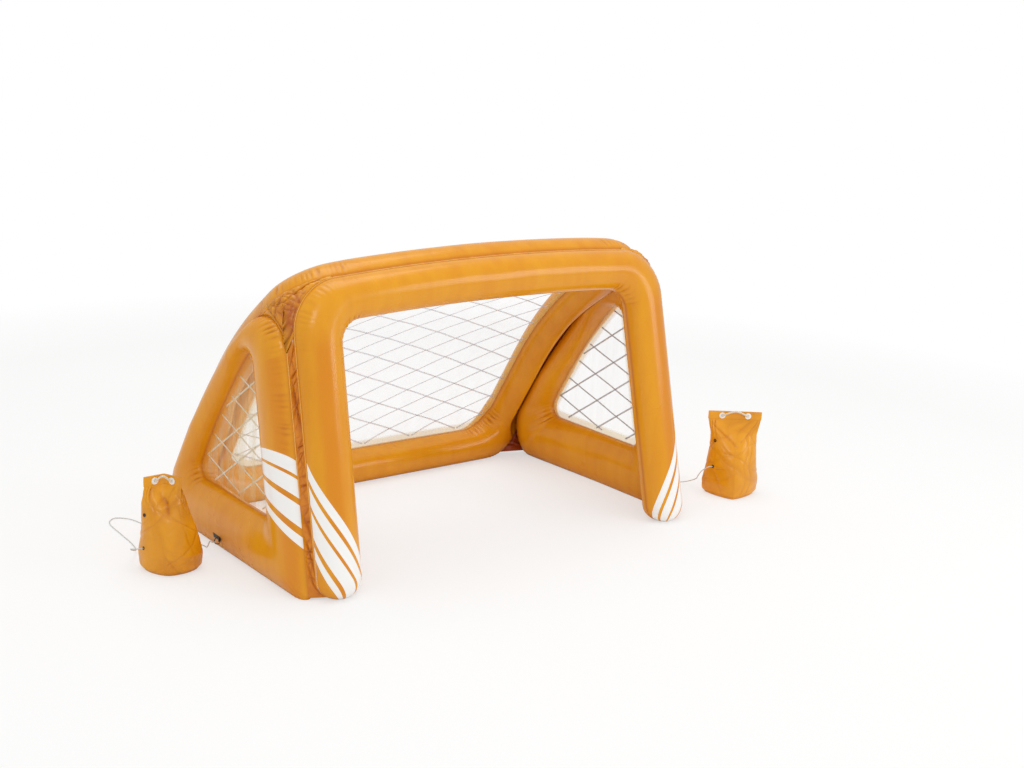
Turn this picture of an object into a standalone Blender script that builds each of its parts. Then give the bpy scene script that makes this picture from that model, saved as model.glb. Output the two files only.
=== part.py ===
"""Inflatable soccer goal with two ballast bags on tether cords.

Metres. +X is to the right of someone who looks into the goal mouth, +Y is to the back, +Z is up.

Four inflated chambers carry the goal: an arch in front that leans back, a rounded triangle on each
side, and a loop on the curved, sloping back. Each chamber is a hollow vinyl skin whose section is an
oval between an outer weld line and an inner weld line. Chambers that press on each other, or on the
floor, are flattened there. Thin webs join the outer weld lines, and clear films with a printed net
pattern fill the three closed windows.
"""
import math

import bmesh
import bpy
import numpy as np
from mathutils import Matrix, Vector

# Seams of the goal: where two neighbouring panels would meet if their sheets had no thickness
SEAM_WIDTH_FLOOR = 1.31
SEAM_WIDTH_TOP = 1.28
SEAM_WIDTH_BACK = 1.29
SEAM_HEIGHT = 0.797
FRONT_FOOT_Y = -0.400
FRONT_TOP_Y = -0.215
BACK_KNEE_Y = 0.130
BACK_KNEE_Z = 0.535
BACK_KNEE_RADIUS = 1.10
BACK_HEEL_Y = 0.398
BACK_HEEL_Z = 0.120
BACK_HEEL_RADIUS = 0.12
BACK_FOOT_Y = 0.378

# Widths of the chambers, from the seam to the inner weld line
ARCH_LEG_FOOT_WIDTH = 0.146
ARCH_LEG_TOP_WIDTH = 0.150
CROSSBAR_WIDTH = 0.120
SIDE_FRONT_WIDTH = 0.168
SIDE_BOTTOM_WIDTH = 0.157
BACK_LEG_WIDTH = 0.157
BACK_TOP_WIDTH = 0.120
BACK_BOTTOM_WIDTH = 0.098

# Thickness of the inflated chambers
ARCH_THICKNESS = 0.108
SIDE_THICKNESS = 0.090
SIDE_THICKNESS_SHARE = 0.96
BACK_THICKNESS = 0.120

# Corner radii of the weld lines
ARCH_OUTER_RADIUS = 0.130
ARCH_INNER_RADIUS = 0.060
FOOT_RADIUS = 0.050
FOOT_END_SHARE = 0.25
FOOT_TURNS = (math.radians(30), math.radians(60), math.radians(90))
SIDE_FRONT_BOTTOM_RADIUS = 0.020
SIDE_TOP_RADIUS = 0.100
SIDE_REAR_RADIUS = 0.070
BACK_OUTER_TOP_RADIUS = 0.135
BACK_OUTER_FLOOR_RADIUS = 0.130
BACK_INNER_RADIUS = 0.100

# Window of a side chamber
WINDOW_TOP_Y = -0.081
WINDOW_TOP_Z = 0.631
WINDOW_REAR_Y = 0.257
WINDOW_BULGE = 0.018
WINDOW_TOP_RADIUS = 0.040
WINDOW_FRONT_RADIUS = 0.032
WINDOW_REAR_RADIUS = 0.035

# Outer weld lines lie this far inside the seams, and the webs bridge the seams
FRONT_WELD_INSET = 0.016
REAR_WELD_INSET = 0.014
TOP_WELD_INSET = 0.006
FLOOR_SINK = 0.009

# Sheets
SKIN_THICKNESS = 0.0003
WEB_THICKNESS = 0.0004
FILM_THICKNESS = 0.00025
PRINT_THICKNESS = 0.0002
PRINT_CLEARANCE = 0.0003
WEB_CLEARANCE = 0.0009
FILM_CLEARANCE = 0.0004
PRESS_CLEARANCE = 0.0004
CORNER_PRESS_CLEARANCE = 0.0012
WEB_END_HEIGHT = 0.012
GUSSET_END_HEIGHT = 0.024
GUSSET_BULGE = 0.015
GUSSET_RIM_INSET = 0.0006
GUSSET_RIM_LIFT = 0.0008
GUSSET_SHOULDER = 0.25
GUSSET_SHOULDER_SHARE = 0.85
GUSSET_WAY = (1.0, -0.25, 0.9)
WEB_END_GAP = 0.0004

# Net pattern: half diagonals of its rhombus on the back and on a side, line width and free edge
NET_HALF_LONG = 0.090
NET_HALF_SHORT = 0.0432
NET_LINE_WIDTH = 0.005
NET_EDGE_MARGIN = 0.012
NET_BACK_NODE = (0.0, 0.4142)
NET_SIDE_NODE = (0.0311, 0.3457)
NET_SIDE_TURN = math.radians(-8.5)

# Valves, one in each chamber
VALVE_BORE_RADIUS = 0.00275
VALVE_COLLAR_RADIUS = 0.0045
VALVE_FLANGE_RADIUS = 0.0120
VALVE_FLANGE_THICKNESS = 0.0008
VALVE_COLLAR_HEIGHT = 0.0053
VALVE_STEM_DEPTH = 0.006
VALVE_CLEARANCE = 0.0003
STOPPER_CAP_RADIUS = 0.006
STOPPER_CAP_THICKNESS = 0.0014
STOPPER_PLUG_TOP_RADIUS = 0.00245
STOPPER_PLUG_TIP_RADIUS = 0.0019
STOPPER_PLUG_LENGTH = 0.0035
STRAP_WIDTH = 0.004
STRAP_THICKNESS = 0.001
STRAP_REACH = 0.0105
POST_LENGTH = 0.0022
VALVE_CUT_DEPTH = 0.012
ARCH_VALVE_HEIGHT = 0.30
SIDE_VALVE_HEIGHT = 0.45
BACK_VALVE_SHARE = 0.4

# Tethers: a tab on the outer face of each side chamber, a D ring in it, and a cord to the bag
TETHER_TAB_Y = 0.050
TETHER_TAB_LENGTH = 0.044
TETHER_TAB_HEIGHT = 0.014
TETHER_TAB_THICKNESS = 0.0012
SLEEVE_RADIUS = 0.0028
SLEEVE_LENGTH = 0.008
RING_WIRE_RADIUS = 0.00125
RING_RADIUS = 0.01025
RING_OFFSET = 0.0045
RING_CLEARANCE = 0.0003
RING_STAND_OFF = 0.0056
NECK_LENGTH = 0.005
NECK_HEIGHT = 0.0064
TETHER_SECTION_STEPS = 2
CORD_RADIUS = 0.0015
CORD_END_GAP = 0.0004
CORD_END_STRAIGHT = 0.012
HOOK_START = math.radians(200)
HOOK_END = math.radians(10)
LEFT_CORD_ROUTE = (
    (-0.709, 0.038, 0.030), (-0.706, 0.062, 0.010), (-0.7055, 0.085, 0.0022), (-0.722, 0.180, 0.0022),
    (-0.774, 0.344, 0.0022), (-0.790, 0.400, 0.0022), (-0.822, 0.428, 0.0022), (-0.852, 0.400, 0.0022),
    (-0.862, 0.300, 0.0022), (-0.868, 0.215, 0.0024), (-0.888, 0.135, 0.014), (-0.918, 0.072, 0.044),
)
RIGHT_CORD_ROUTE = (
    (0.716, 0.008, 0.030), (0.724, -0.020, 0.010), (0.738, -0.050, 0.0022), (0.790, -0.115, 0.0022),
    (0.842, -0.158, 0.0022), (0.866, -0.194, 0.012), (0.862, -0.236, 0.034), (0.842, -0.274, 0.060),
)

# Bags. Each level is (height, width, depth, power of the outline, fold of the header, shift to the right)
BAG_SKIN_THICKNESS = 0.0005
BAG_BALLAST_CLEARANCE = 0.0018
BALLAST_LIFT = 0.0004
LEFT_BAG_PLACE = (-0.852, 0.006)
LEFT_BAG_TURN = math.radians(-32)
LEFT_BAG_LEVELS = (
    (0.000, 0.140, 0.124, 1.6, 0.0, 0.0),
    (0.012, 0.165, 0.148, 1.6, 0.0, 0.0),
    (0.050, 0.171, 0.150, 1.7, 0.0, 0.0),
    (0.110, 0.148, 0.122, 1.8, 0.0, -0.004),
    (0.152, 0.132, 0.094, 1.9, 0.005, -0.011),
    (0.186, 0.121, 0.062, 2.0, 0.014, -0.015),
    (0.231, 0.098, 0.004, 4.0, 0.032, -0.017),
    (0.259, 0.098, 0.004, 4.0, 0.032, -0.017),
)
LEFT_BAG_FILL = 0.155
RIGHT_BAG_PLACE = (0.935, -0.315)
RIGHT_BAG_TURN = math.radians(-36)
RIGHT_BAG_LEVELS = (
    (0.000, 0.150, 0.150, 1.3, 0.0, 0.0),
    (0.012, 0.174, 0.172, 1.3, 0.0, 0.0),
    (0.043, 0.181, 0.172, 1.4, 0.0, 0.0),
    (0.092, 0.164, 0.150, 1.6, 0.0, 0.0),
    (0.150, 0.151, 0.108, 1.9, 0.0, 0.0),
    (0.195, 0.147, 0.060, 2.0, 0.0, 0.0),
    (0.241, 0.167, 0.004, 4.0, 0.0, 0.0),
    (0.268, 0.167, 0.004, 4.0, 0.0, 0.0),
)
RIGHT_BAG_FILL = 0.165
BAG_POINTS = 16
BAG_HEM_THICKNESS = 0.0008
BAG_HEM_INSET = 0.002
BAG_CLEARANCE = 0.0003
EYELET_SPACING = 0.49
EYELET_HOLE_RADIUS = 0.0050
EYELET_COLLAR_RADIUS = 0.0047
EYELET_BORE_RADIUS = 0.0037
EYELET_FLANGE_RADIUS = 0.0100
EYELET_FLANGE_THICKNESS = 0.0010
SIDE_EYELET_RADIUS = 0.0050
SIDE_EYELET_BORE_RADIUS = 0.0019
SIDE_EYELET_THICKNESS = 0.0012
SIDE_EYELET_STAND_OFF = 0.0003
LEFT_SIDE_EYELET_HEIGHTS = (0.068, 0.157)
RIGHT_SIDE_EYELET_HEIGHTS = (0.095, 0.176)
SIDE_EYELET_OUTLINE_STEPS = 9
HANDLE_CORD_RADIUS = 0.0030
EYELET_CUT_DEPTH = 0.02
HANDLE_CORD_TAIL = 0.009
HANDLE_CORD_ENTRY = 0.0009
HANDLE_CORD_RISE = 0.020
HANDLE_CORD_FRONT = 0.012

# Points of two edges closer than this share of the edge are one, and stations keep this far from bends
SAME_SHARE = 0.004
BREAK_MARGIN = 0.01
ARC_MARGIN = 0.001

# Fineness of the curved surfaces
VALVE_STEPS = 12
EYELET_STEPS = 12
SIDE_EYELET_STEPS = 12
SECTION_POINTS = 14
KNEE_STEPS = 5
HEEL_STEPS = 3
CORNER_STEPS = 4
SMALL_ARC_STEPS = 3
KNUCKLE_POINTS = 5
SLEEVE_STEPS = 16
RING_POINTS = 17
HOOK_POINTS = 10
PATH_STEPS = 16
HANDLE_CORD_POINTS = 16
LEFT_CORD_POINTS = 60
RIGHT_CORD_POINTS = 40
NET_LINE_STEPS = 16
NET_CROSSING_REACHES = 1.5

# Colours, roughness and metallic value of each material, from the photo
MATERIALS = {
    "vinyl": ((0.80, 0.33, 0.020), 0.28, 0.0),
    "web_vinyl": ((0.56, 0.19, 0.012), 0.36, 0.0),
    "clear_film": ((0.90, 0.90, 0.88), 0.15, 0.0),
    "net_print": ((0.88, 0.88, 0.86), 0.45, 0.0),
    "valve_plastic": ((0.80, 0.35, 0.03), 0.35, 0.0),
    "black_plastic": ((0.010, 0.010, 0.011), 0.40, 0.0),
    "white_cord": ((0.80, 0.80, 0.78), 0.80, 0.0),
    "bag_vinyl": ((0.72, 0.29, 0.018), 0.42, 0.0),
    "water": ((0.55, 0.68, 0.72), 0.10, 0.0),
    "white_plastic": ((0.85, 0.85, 0.83), 0.30, 0.0),
    "dark_metal": ((0.05, 0.03, 0.02), 0.35, 0.8),
}


def unit(vector):
    """The vector at length one."""
    vector = np.asarray(vector, float)
    return vector / np.linalg.norm(vector)


# The front plane leans back. UP runs up along it and BACKWARD is its normal
UP = unit((0.0, FRONT_TOP_Y - FRONT_FOOT_Y, SEAM_HEIGHT))
BACKWARD = np.array((0.0, UP[2], -UP[1]))
FRONT_ORIGIN = np.array((0.0, FRONT_FOOT_Y, 0.0))
FRONT_LENGTH = math.hypot(FRONT_TOP_Y - FRONT_FOOT_Y, SEAM_HEIGHT)

# The right side's plane, through the front seam and the back seam's foot
SIDE_ORIGIN = np.array((SEAM_WIDTH_FLOOR / 2, FRONT_FOOT_Y, 0.0))
SIDE_TOP = np.array((SEAM_WIDTH_TOP / 2, FRONT_TOP_Y, SEAM_HEIGHT))
SIDE_BACK = np.array((SEAM_WIDTH_BACK / 2, BACK_FOOT_Y, 0.0))
OUTWARD = unit(np.cross(SIDE_BACK - SIDE_ORIGIN, SIDE_TOP - SIDE_ORIGIN))


def side_x(y, z):
    """X of the right side's plane at a given place in the side view."""
    lean = OUTWARD[1] * (y - SIDE_ORIGIN[1]) + OUTWARD[2] * (z - SIDE_ORIGIN[2])
    return SIDE_ORIGIN[0] - lean / OUTWARD[0]


def arc_at_corner(before, corner, after, radius, steps):
    """Points of the arc that rounds a corner of a flat outline, from its first tangent point to its last."""
    before, corner, after = (np.asarray(p, float) for p in (before, corner, after))
    to_before, to_after = unit(before - corner), unit(after - corner)
    half = math.acos(np.clip(to_before @ to_after, -1, 1)) / 2
    centre = corner + unit(to_before + to_after) * radius / math.sin(half)
    start = corner + to_before * radius / math.tan(half)
    spoke = start - centre
    turn = math.pi - 2 * half
    sign = 1 if to_before[0] * to_after[1] - to_before[1] * to_after[0] < 0 else -1
    angles = sign * np.linspace(0, turn, steps + 1)
    cos, sin = np.cos(angles), np.sin(angles)
    return centre + np.stack([cos * spoke[0] - sin * spoke[1], sin * spoke[0] + cos * spoke[1]], 1)


def line_meet(point_a, along_a, point_b, along_b):
    """Where two flat lines cross."""
    sides = np.stack([along_a, -np.asarray(along_b)], 1)
    step = np.linalg.solve(sides, np.asarray(point_b) - np.asarray(point_a))[0]
    return np.asarray(point_a) + step * np.asarray(along_a)


def lengths_along(points):
    """Distance from the first point to each point of a path."""
    steps = np.linalg.norm(np.diff(points, axis=0), axis=1)
    return np.concatenate([[0.0], np.cumsum(steps)])


def points_at(path, fractions):
    """Points of a path at the given fractions of its length."""
    along = lengths_along(path)
    wanted = np.asarray(fractions) * along[-1]
    return np.stack([np.interp(wanted, along, path[:, k]) for k in range(path.shape[1])], 1)


# Back profile in the side view (Y, Z): top seam, wide bend at the knee, small bend at the heel, floor
PROFILE_TOP = (FRONT_TOP_Y, SEAM_HEIGHT)
PROFILE_KNEE = (BACK_KNEE_Y, BACK_KNEE_Z)
PROFILE_HEEL = (BACK_HEEL_Y, BACK_HEEL_Z)
PROFILE_FOOT = (BACK_FOOT_Y, 0.0)
HEEL_TO_FLOOR = unit(np.subtract(PROFILE_FOOT, PROFILE_HEEL))
PROFILE_END = np.add(PROFILE_FOOT, HEEL_TO_FLOOR * FLOOR_SINK / -HEEL_TO_FLOOR[1])
PROFILE = np.concatenate([
    [PROFILE_TOP],
    arc_at_corner(PROFILE_TOP, PROFILE_KNEE, PROFILE_HEEL, BACK_KNEE_RADIUS, KNEE_STEPS),
    arc_at_corner(PROFILE_KNEE, PROFILE_HEEL, PROFILE_FOOT, BACK_HEEL_RADIUS, HEEL_STEPS),
    [PROFILE_END],
])
BREAKS = lengths_along(PROFILE)
PROFILE_STEPS = np.diff(PROFILE, axis=0) / np.diff(BREAKS)[:, None]
STEP_NORMALS = np.stack([-PROFILE_STEPS[:, 1], PROFILE_STEPS[:, 0]], 1)
BREAK_NORMALS = np.concatenate([STEP_NORMALS[:1], STEP_NORMALS[:-1] + STEP_NORMALS[1:], STEP_NORMALS[-1:]])
BREAK_NORMALS /= np.linalg.norm(BREAK_NORMALS, axis=1)[:, None]


def on_front(flat, offset):
    """Places points (x, height up the front plane) with an offset behind that plane."""
    return (FRONT_ORIGIN + flat[..., :1] * np.array((1.0, 0, 0)) + flat[..., 1:] * UP
            + offset[..., None] * BACKWARD)


def on_side(flat, offset):
    """Places points (y, z) of the right side's plane with an offset outwards."""
    x = side_x(flat[..., 0], flat[..., 1])
    return np.stack([x, flat[..., 0], flat[..., 1]], -1) + offset[..., None] * OUTWARD


def on_back(flat, offset):
    """Places points (x, distance down the back profile) with an offset outwards."""
    down = flat[..., 1]
    y = np.interp(down, BREAKS, PROFILE[:, 0])
    z = np.interp(down, BREAKS, PROFILE[:, 1])
    normal_y = np.interp(down, BREAKS, BREAK_NORMALS[:, 0])
    normal_z = np.interp(down, BREAKS, BREAK_NORMALS[:, 1])
    scale = offset / np.hypot(normal_y, normal_z)
    return np.stack([flat[..., 0], y + scale * normal_y, z + scale * normal_z], -1)


def back_half_width(down):
    """Half width of the back between the rear seams, at a distance down the profile."""
    return side_x(np.interp(down, BREAKS, PROFILE[:, 0]), np.interp(down, BREAKS, PROFILE[:, 1]))


def behind_front(points):
    """Distance of points behind the front plane."""
    return (points - FRONT_ORIGIN) @ BACKWARD


def outside_side(points):
    """Distance of points outside the right side's plane."""
    return (points - SIDE_ORIGIN) @ OUTWARD


def inside_back(points):
    """Depth of points inside the back profile, and the inward direction of the nearest step of it."""
    relative = points[..., None, 1:] - PROFILE[:-1]
    depths = -np.sum(relative * STEP_NORMALS, -1)
    nearest = np.argmin(depths, -1)
    depth = np.take_along_axis(depths, nearest[..., None], -1)[..., 0]
    inward = -STEP_NORMALS[nearest]
    return depth, np.concatenate([np.zeros(inward.shape[:-1] + (1,)), inward], -1)


def press(points, excess, direction):
    """Moves points back along a direction (the excess's own gradient) until the excess is gone."""
    move = np.maximum(excess, 0.0) / np.sum(direction * direction, -1)
    return points - move[..., None] * direction


TOP_INWARD = np.concatenate([[0.0], -STEP_NORMALS[0]])


def inside_top(points):
    """Depth of points inside the flat upper part of the back."""
    return (points - np.array((0.0, *PROFILE_TOP))) @ TOP_INWARD


def press_on_floor(points):
    """Flattens what would reach below the floor."""
    points[..., 2] = np.maximum(points[..., 2], 0.0)
    return points


PRESS_ROUNDS = 3


def press_arch(points):
    """Flattens the arch's right half against the side chamber, the back chamber and the floor."""
    for _ in range(PRESS_ROUNDS):
        excess = behind_front(points) + outside_side(points) + PRESS_CLEARANCE
        points = press(points, excess, BACKWARD + OUTWARD)
        excess = behind_front(points) - inside_top(points) + PRESS_CLEARANCE
        points = press(points, excess, BACKWARD - TOP_INWARD)
    return press_on_floor(points)


def press_side(points):
    """Flattens the right side chamber against the arch, the back chamber and the floor."""
    for _ in range(PRESS_ROUNDS):
        excess = PRESS_CLEARANCE - behind_front(points) - outside_side(points)
        points = press(points, excess, -BACKWARD - OUTWARD)
        depth, inward = inside_back(points)
        points = press(points, PRESS_CLEARANCE - depth - outside_side(points), -inward - OUTWARD)
    return press_on_floor(points)


def press_back(points):
    """Flattens the back chamber's right half against the arch, the side chamber and the floor."""
    for _ in range(PRESS_ROUNDS):
        excess = inside_top(points) - behind_front(points) + PRESS_CLEARANCE
        points = press(points, excess, TOP_INWARD - BACKWARD)
        depth, inward = inside_back(points)
        points = press(points, CORNER_PRESS_CLEARANCE + depth + outside_side(points), inward + OUTWARD)
    return press_on_floor(points)


class Outline:
    """Pairs of outer and inner weld line points, in stretches that are named by the part of the chamber."""

    def __init__(self):
        self.outer = []
        self.inner = []
        self.first = {}

    def stretch(self, name, outer, inner):
        """Adds a stretch: each outer point is paired with the inner line's point at the same fraction."""
        outer = np.asarray(outer, float)
        along = lengths_along(outer)
        self.first[name] = sum(len(part) for part in self.outer)
        self.outer.append(outer[:-1])
        self.inner.append(points_at(np.asarray(inner, float), along / along[-1])[:-1])
        self.last = (outer[-1:], np.asarray(inner, float)[-1:])

    def closed(self):
        """Outer and inner points of an outline whose last stretch ends where the first began."""
        return np.concatenate(self.outer), np.concatenate(self.inner)

    def open(self):
        """Outer and inner points, with the last stretch's end."""
        return np.concatenate(self.outer + [self.last[0]]), np.concatenate(self.inner + [self.last[1]])


def oval_rings(outer, inner, half_thickness, place):
    """Rings of an inflated chamber: an oval from the outer weld point (first) to the inner one (halfway)."""
    angles = np.arange(SECTION_POINTS) * 2 * math.pi / SECTION_POINTS
    middle, arm = (outer + inner) / 2, (outer - inner) / 2
    flat = middle[:, None] + arm[:, None] * np.cos(angles)[None, :, None]
    return place(flat, half_thickness[:, None] * np.sin(angles)[None, :])


def arch_half():
    """Rings of the arch's right half, from the middle of the crossbar to the foot, and their outline."""
    top_outer = FRONT_LENGTH - TOP_WELD_INSET
    top_inner = FRONT_LENGTH - CROSSBAR_WIDTH
    half_outer = SEAM_WIDTH_TOP / 2 - FRONT_WELD_INSET
    half_inner = SEAM_WIDTH_TOP / 2 - ARCH_LEG_TOP_WIDTH
    bar_end = half_inner - ARCH_INNER_RADIUS
    leg_top = top_inner - ARCH_INNER_RADIUS
    foot = FOOT_RADIUS
    outline = Outline()
    outline.stretch("bar", [(0, top_outer), (bar_end, top_outer)], [(0, top_inner), (bar_end, top_inner)])
    corner = arc_at_corner((0, top_outer), (half_outer, top_outer), (half_outer, 0),
                           ARCH_OUTER_RADIUS, CORNER_STEPS)
    inner_arc = arc_at_corner((0, top_inner), (half_inner, top_inner), (half_inner, 0),
                              ARCH_INNER_RADIUS, CORNER_STEPS)
    outline.stretch("corner", [(bar_end, top_outer), *corner, (half_outer, leg_top)], inner_arc)
    outline.stretch("leg", [(half_outer, leg_top), (half_outer, foot)],
                    [(half_inner, leg_top), (half_inner, foot)])
    outer, inner = outline.open()
    half = np.full(len(outer), ARCH_THICKNESS / 2)
    lean = np.zeros(len(outer))
    # The foot: the weld lines round in, and the section thins and turns level
    for turn in FOOT_TURNS:
        height = foot * (1 - math.sin(turn))
        inset = foot * (1 - math.cos(turn))
        outer = np.concatenate([outer, [(half_outer - inset, height)]])
        inner = np.concatenate([inner, [(half_inner + inset, height)]])
        share = FOOT_END_SHARE + (1 - FOOT_END_SHARE) * math.cos(turn)
        half = np.append(half, share * ARCH_THICKNESS / 2)
        lean = np.append(lean, math.sin(turn) ** 2)
    # The legs spread towards the floor
    outer_gain = (SEAM_WIDTH_FLOOR - SEAM_WIDTH_TOP) / 2
    inner_gain = outer_gain + ARCH_LEG_TOP_WIDTH - ARCH_LEG_FOOT_WIDTH
    for line, gain, half_width in ((outer, outer_gain, half_outer), (inner, inner_gain, half_inner)):
        line[:, 0] += (1 - line[:, 1] / FRONT_LENGTH) * gain * line[:, 0] / half_width
    rings = oval_rings(outer, inner, half, on_front)
    # Level the foot's rings: turn their thickness from the front plane's normal to the floor's
    mid_plane = oval_rings(outer, inner, half * 0, on_front)
    thickness = rings - mid_plane
    level = np.linalg.norm(thickness, axis=-1) * np.sign(thickness[..., 1])
    level_thickness = np.stack([0 * level, level, 0 * level], -1)
    mix = lean[:, None, None]
    rings = mid_plane + (1 - mix) * thickness + mix * level_thickness
    return press_arch(rings), outline.first, inner


def window_path():
    """Inner weld line of a side chamber in the side view: its corners' arcs and the bulged rear edge."""
    inside = FRONT_ORIGIN[1:] + BACKWARD[1:] * SIDE_FRONT_WIDTH
    front_bottom = line_meet(inside, UP[1:], (0, SIDE_BOTTOM_WIDTH), (1, 0))
    top = np.array((WINDOW_TOP_Y, WINDOW_TOP_Z))
    rear = np.array((WINDOW_REAR_Y, SIDE_BOTTOM_WIDTH))
    chord = rear - top
    outward = unit((-chord[1], chord[0]))
    share = np.array((0.25, 0.5, 0.75))[:, None]
    bulge = top + share * chord + 4 * share * (1 - share) * WINDOW_BULGE * outward
    front_arc = arc_at_corner(rear, front_bottom, top, WINDOW_FRONT_RADIUS, SMALL_ARC_STEPS)
    top_arc = arc_at_corner(front_bottom, top, bulge[0], WINDOW_TOP_RADIUS, CORNER_STEPS)
    rear_arc = arc_at_corner(bulge[-1], rear, front_bottom, WINDOW_REAR_RADIUS, CORNER_STEPS)
    return front_arc, top_arc, bulge, rear_arc


WINDOW_PARTS = window_path()
SIDE_WINDOW = np.concatenate(WINDOW_PARTS)


def side_rings():
    """Rings of the right side chamber, from its front bottom corner up and round, and their outline."""
    offsets = -BREAK_NORMALS * REAR_WELD_INSET
    rear_line = PROFILE + offsets
    front_point = FRONT_ORIGIN[1:] + BACKWARD[1:] * FRONT_WELD_INSET
    bottom_z = -FLOOR_SINK
    front_bottom = line_meet(front_point, UP[1:], (0, bottom_z), (1, 0))
    top = line_meet(front_point, UP[1:], rear_line[1], PROFILE_STEPS[0])
    rear_bottom = line_meet(rear_line[-2], PROFILE_STEPS[-1], (0, bottom_z), (1, 0))
    front_arc = arc_at_corner(rear_bottom, front_bottom, top, SIDE_FRONT_BOTTOM_RADIUS, SMALL_ARC_STEPS)
    top_arc = arc_at_corner(front_bottom, top, rear_line[1], SIDE_TOP_RADIUS, CORNER_STEPS)
    rear_arc = arc_at_corner(rear_line[-2], rear_bottom, front_bottom, SIDE_REAR_RADIUS, CORNER_STEPS)
    window_front, window_top, window_bulge, window_rear = WINDOW_PARTS
    heel = len(PROFILE) - 1 - HEEL_STEPS
    outline = Outline()
    outline.stretch("front_bottom", front_arc, window_front)
    outline.stretch("front", [front_arc[-1], top_arc[0]], [window_front[-1], window_top[0]])
    outline.stretch("top", top_arc, window_top)
    outline.stretch("rear", [top_arc[-1], *rear_line[1:heel]],
                    [window_top[-1], *window_bulge, window_rear[0]])
    outline.stretch("heel", [*rear_line[heel - 1:-1], *rear_arc], window_rear)
    outline.stretch("bottom", [rear_arc[-1], front_arc[0]], [window_rear[-1], window_front[0]])
    outer, inner = outline.closed()
    width = np.linalg.norm(outer - inner, axis=1)
    half = np.minimum(SIDE_THICKNESS, SIDE_THICKNESS_SHARE * width) / 2
    return press_side(oval_rings(outer, inner, half, on_side)), outline.first, inner


def back_half():
    """Rings of the back chamber's right half, from its top tube's middle to the floor tube's middle."""
    top_outer, top_inner = TOP_WELD_INSET, BACK_TOP_WIDTH
    floor_outer, floor_inner = BREAKS[-1], BREAKS[-1] - FLOOR_SINK - BACK_BOTTOM_WIDTH
    half_outer = SEAM_WIDTH_TOP / 2 - REAR_WELD_INSET
    half_inner = SEAM_WIDTH_TOP / 2 - BACK_LEG_WIDTH
    bar_end = half_inner - BACK_INNER_RADIUS
    leg_top, leg_end = top_inner + BACK_INNER_RADIUS, floor_inner - BACK_INNER_RADIUS
    top_arc = arc_at_corner((0, top_outer), (half_outer, top_outer), (half_outer, floor_outer),
                            BACK_OUTER_TOP_RADIUS, CORNER_STEPS)
    floor_arc = arc_at_corner((half_outer, 0), (half_outer, floor_outer), (0, floor_outer),
                              BACK_OUTER_FLOOR_RADIUS, CORNER_STEPS)
    inner_top = arc_at_corner((0, top_inner), (half_inner, top_inner), (half_inner, floor_inner),
                              BACK_INNER_RADIUS, CORNER_STEPS)
    inner_floor = arc_at_corner((half_inner, 0), (half_inner, floor_inner), (0, floor_inner),
                                BACK_INNER_RADIUS, CORNER_STEPS)
    leg_breaks = BREAKS[(BREAKS > leg_top + BREAK_MARGIN) & (BREAKS < leg_end - BREAK_MARGIN)]
    heel_breaks = BREAKS[(BREAKS >= leg_end - BREAK_MARGIN) & (BREAKS < floor_arc[0, 1] - ARC_MARGIN)]
    outline = Outline()
    outline.stretch("top_bar", [(0, top_outer), (bar_end, top_outer)], [(0, top_inner), (bar_end, top_inner)])
    outline.stretch("top_corner", [(bar_end, top_outer), *top_arc, (half_outer, leg_top)], inner_top)
    down = [leg_top, *leg_breaks, leg_end]
    outline.stretch("leg", [(half_outer, s) for s in down], [(half_inner, s) for s in down])
    outline.stretch("floor_corner", [(half_outer, leg_end), *[(half_outer, s) for s in heel_breaks],
                                     *floor_arc, (bar_end, floor_outer)], inner_floor)
    outline.stretch("floor_bar", [(bar_end, floor_outer), (0, floor_outer)],
                    [(bar_end, floor_inner), (0, floor_inner)])
    outer, inner = outline.open()
    for line in (outer, inner):
        line[:, 0] *= back_half_width(line[:, 1]) / (SEAM_WIDTH_TOP / 2)
    half = np.full(len(outer), BACK_THICKNESS / 2)
    return press_back(oval_rings(outer, inner, half, on_back)), outline.first, inner


# Scene helpers

def clear_scene():
    """Removes what the file holds."""
    for obj in list(bpy.data.objects):
        bpy.data.objects.remove(obj)


clear_scene()
GOAL = bpy.data.collections.new("inflatable_soccer_goal")
CUTTERS = bpy.data.collections.new("cutters")
for collection in (GOAL, CUTTERS):
    bpy.context.scene.collection.children.link(collection)


def make_materials():
    """One Principled BSDF material for each finish."""
    made = {}
    for name, (colour, roughness, metallic) in MATERIALS.items():
        material = bpy.data.materials.new(name)
        material.use_nodes = True
        shader = material.node_tree.nodes["Principled BSDF"]
        shader.inputs["Base Color"].default_value = (*colour, 1.0)
        shader.inputs["Roughness"].default_value = roughness
        shader.inputs["Metallic"].default_value = metallic
        material.diffuse_color = (*colour, 1.0)
        made[name] = material
    return made


FINISH = make_materials()


def add_empty(name, parent=None, location=(0, 0, 0), turn=0.0):
    """An empty that carries other pieces."""
    empty = bpy.data.objects.new(name, None)
    GOAL.objects.link(empty)
    empty.parent = parent
    empty.location = location
    empty.rotation_euler = (0, 0, turn)
    return empty


FRAME = add_empty("goal_origin")


def add_object(name, data, finish, parent=FRAME, matrix=None):
    """Links a mesh or curve as a named piece under its parent."""
    obj = bpy.data.objects.new(name, data)
    GOAL.objects.link(obj)
    obj.parent = parent
    if matrix is not None:
        obj.matrix_local = matrix
    data.materials.append(FINISH[finish])
    return obj


def add_cutter(name, mesh, parent=FRAME, matrix=None):
    """Links a hidden tool for a Boolean."""
    obj = bpy.data.objects.new(name, mesh)
    CUTTERS.objects.link(obj)
    obj.parent = parent
    if matrix is not None:
        obj.matrix_local = matrix
    obj.hide_render = True
    obj.display_type = "WIRE"
    return obj


def boolean(obj, tool, operation):
    """Adds an exact Boolean with a hidden tool."""
    modifier = obj.modifiers.new(operation.lower(), "BOOLEAN")
    modifier.operation = operation
    modifier.object = tool
    return modifier


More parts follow.
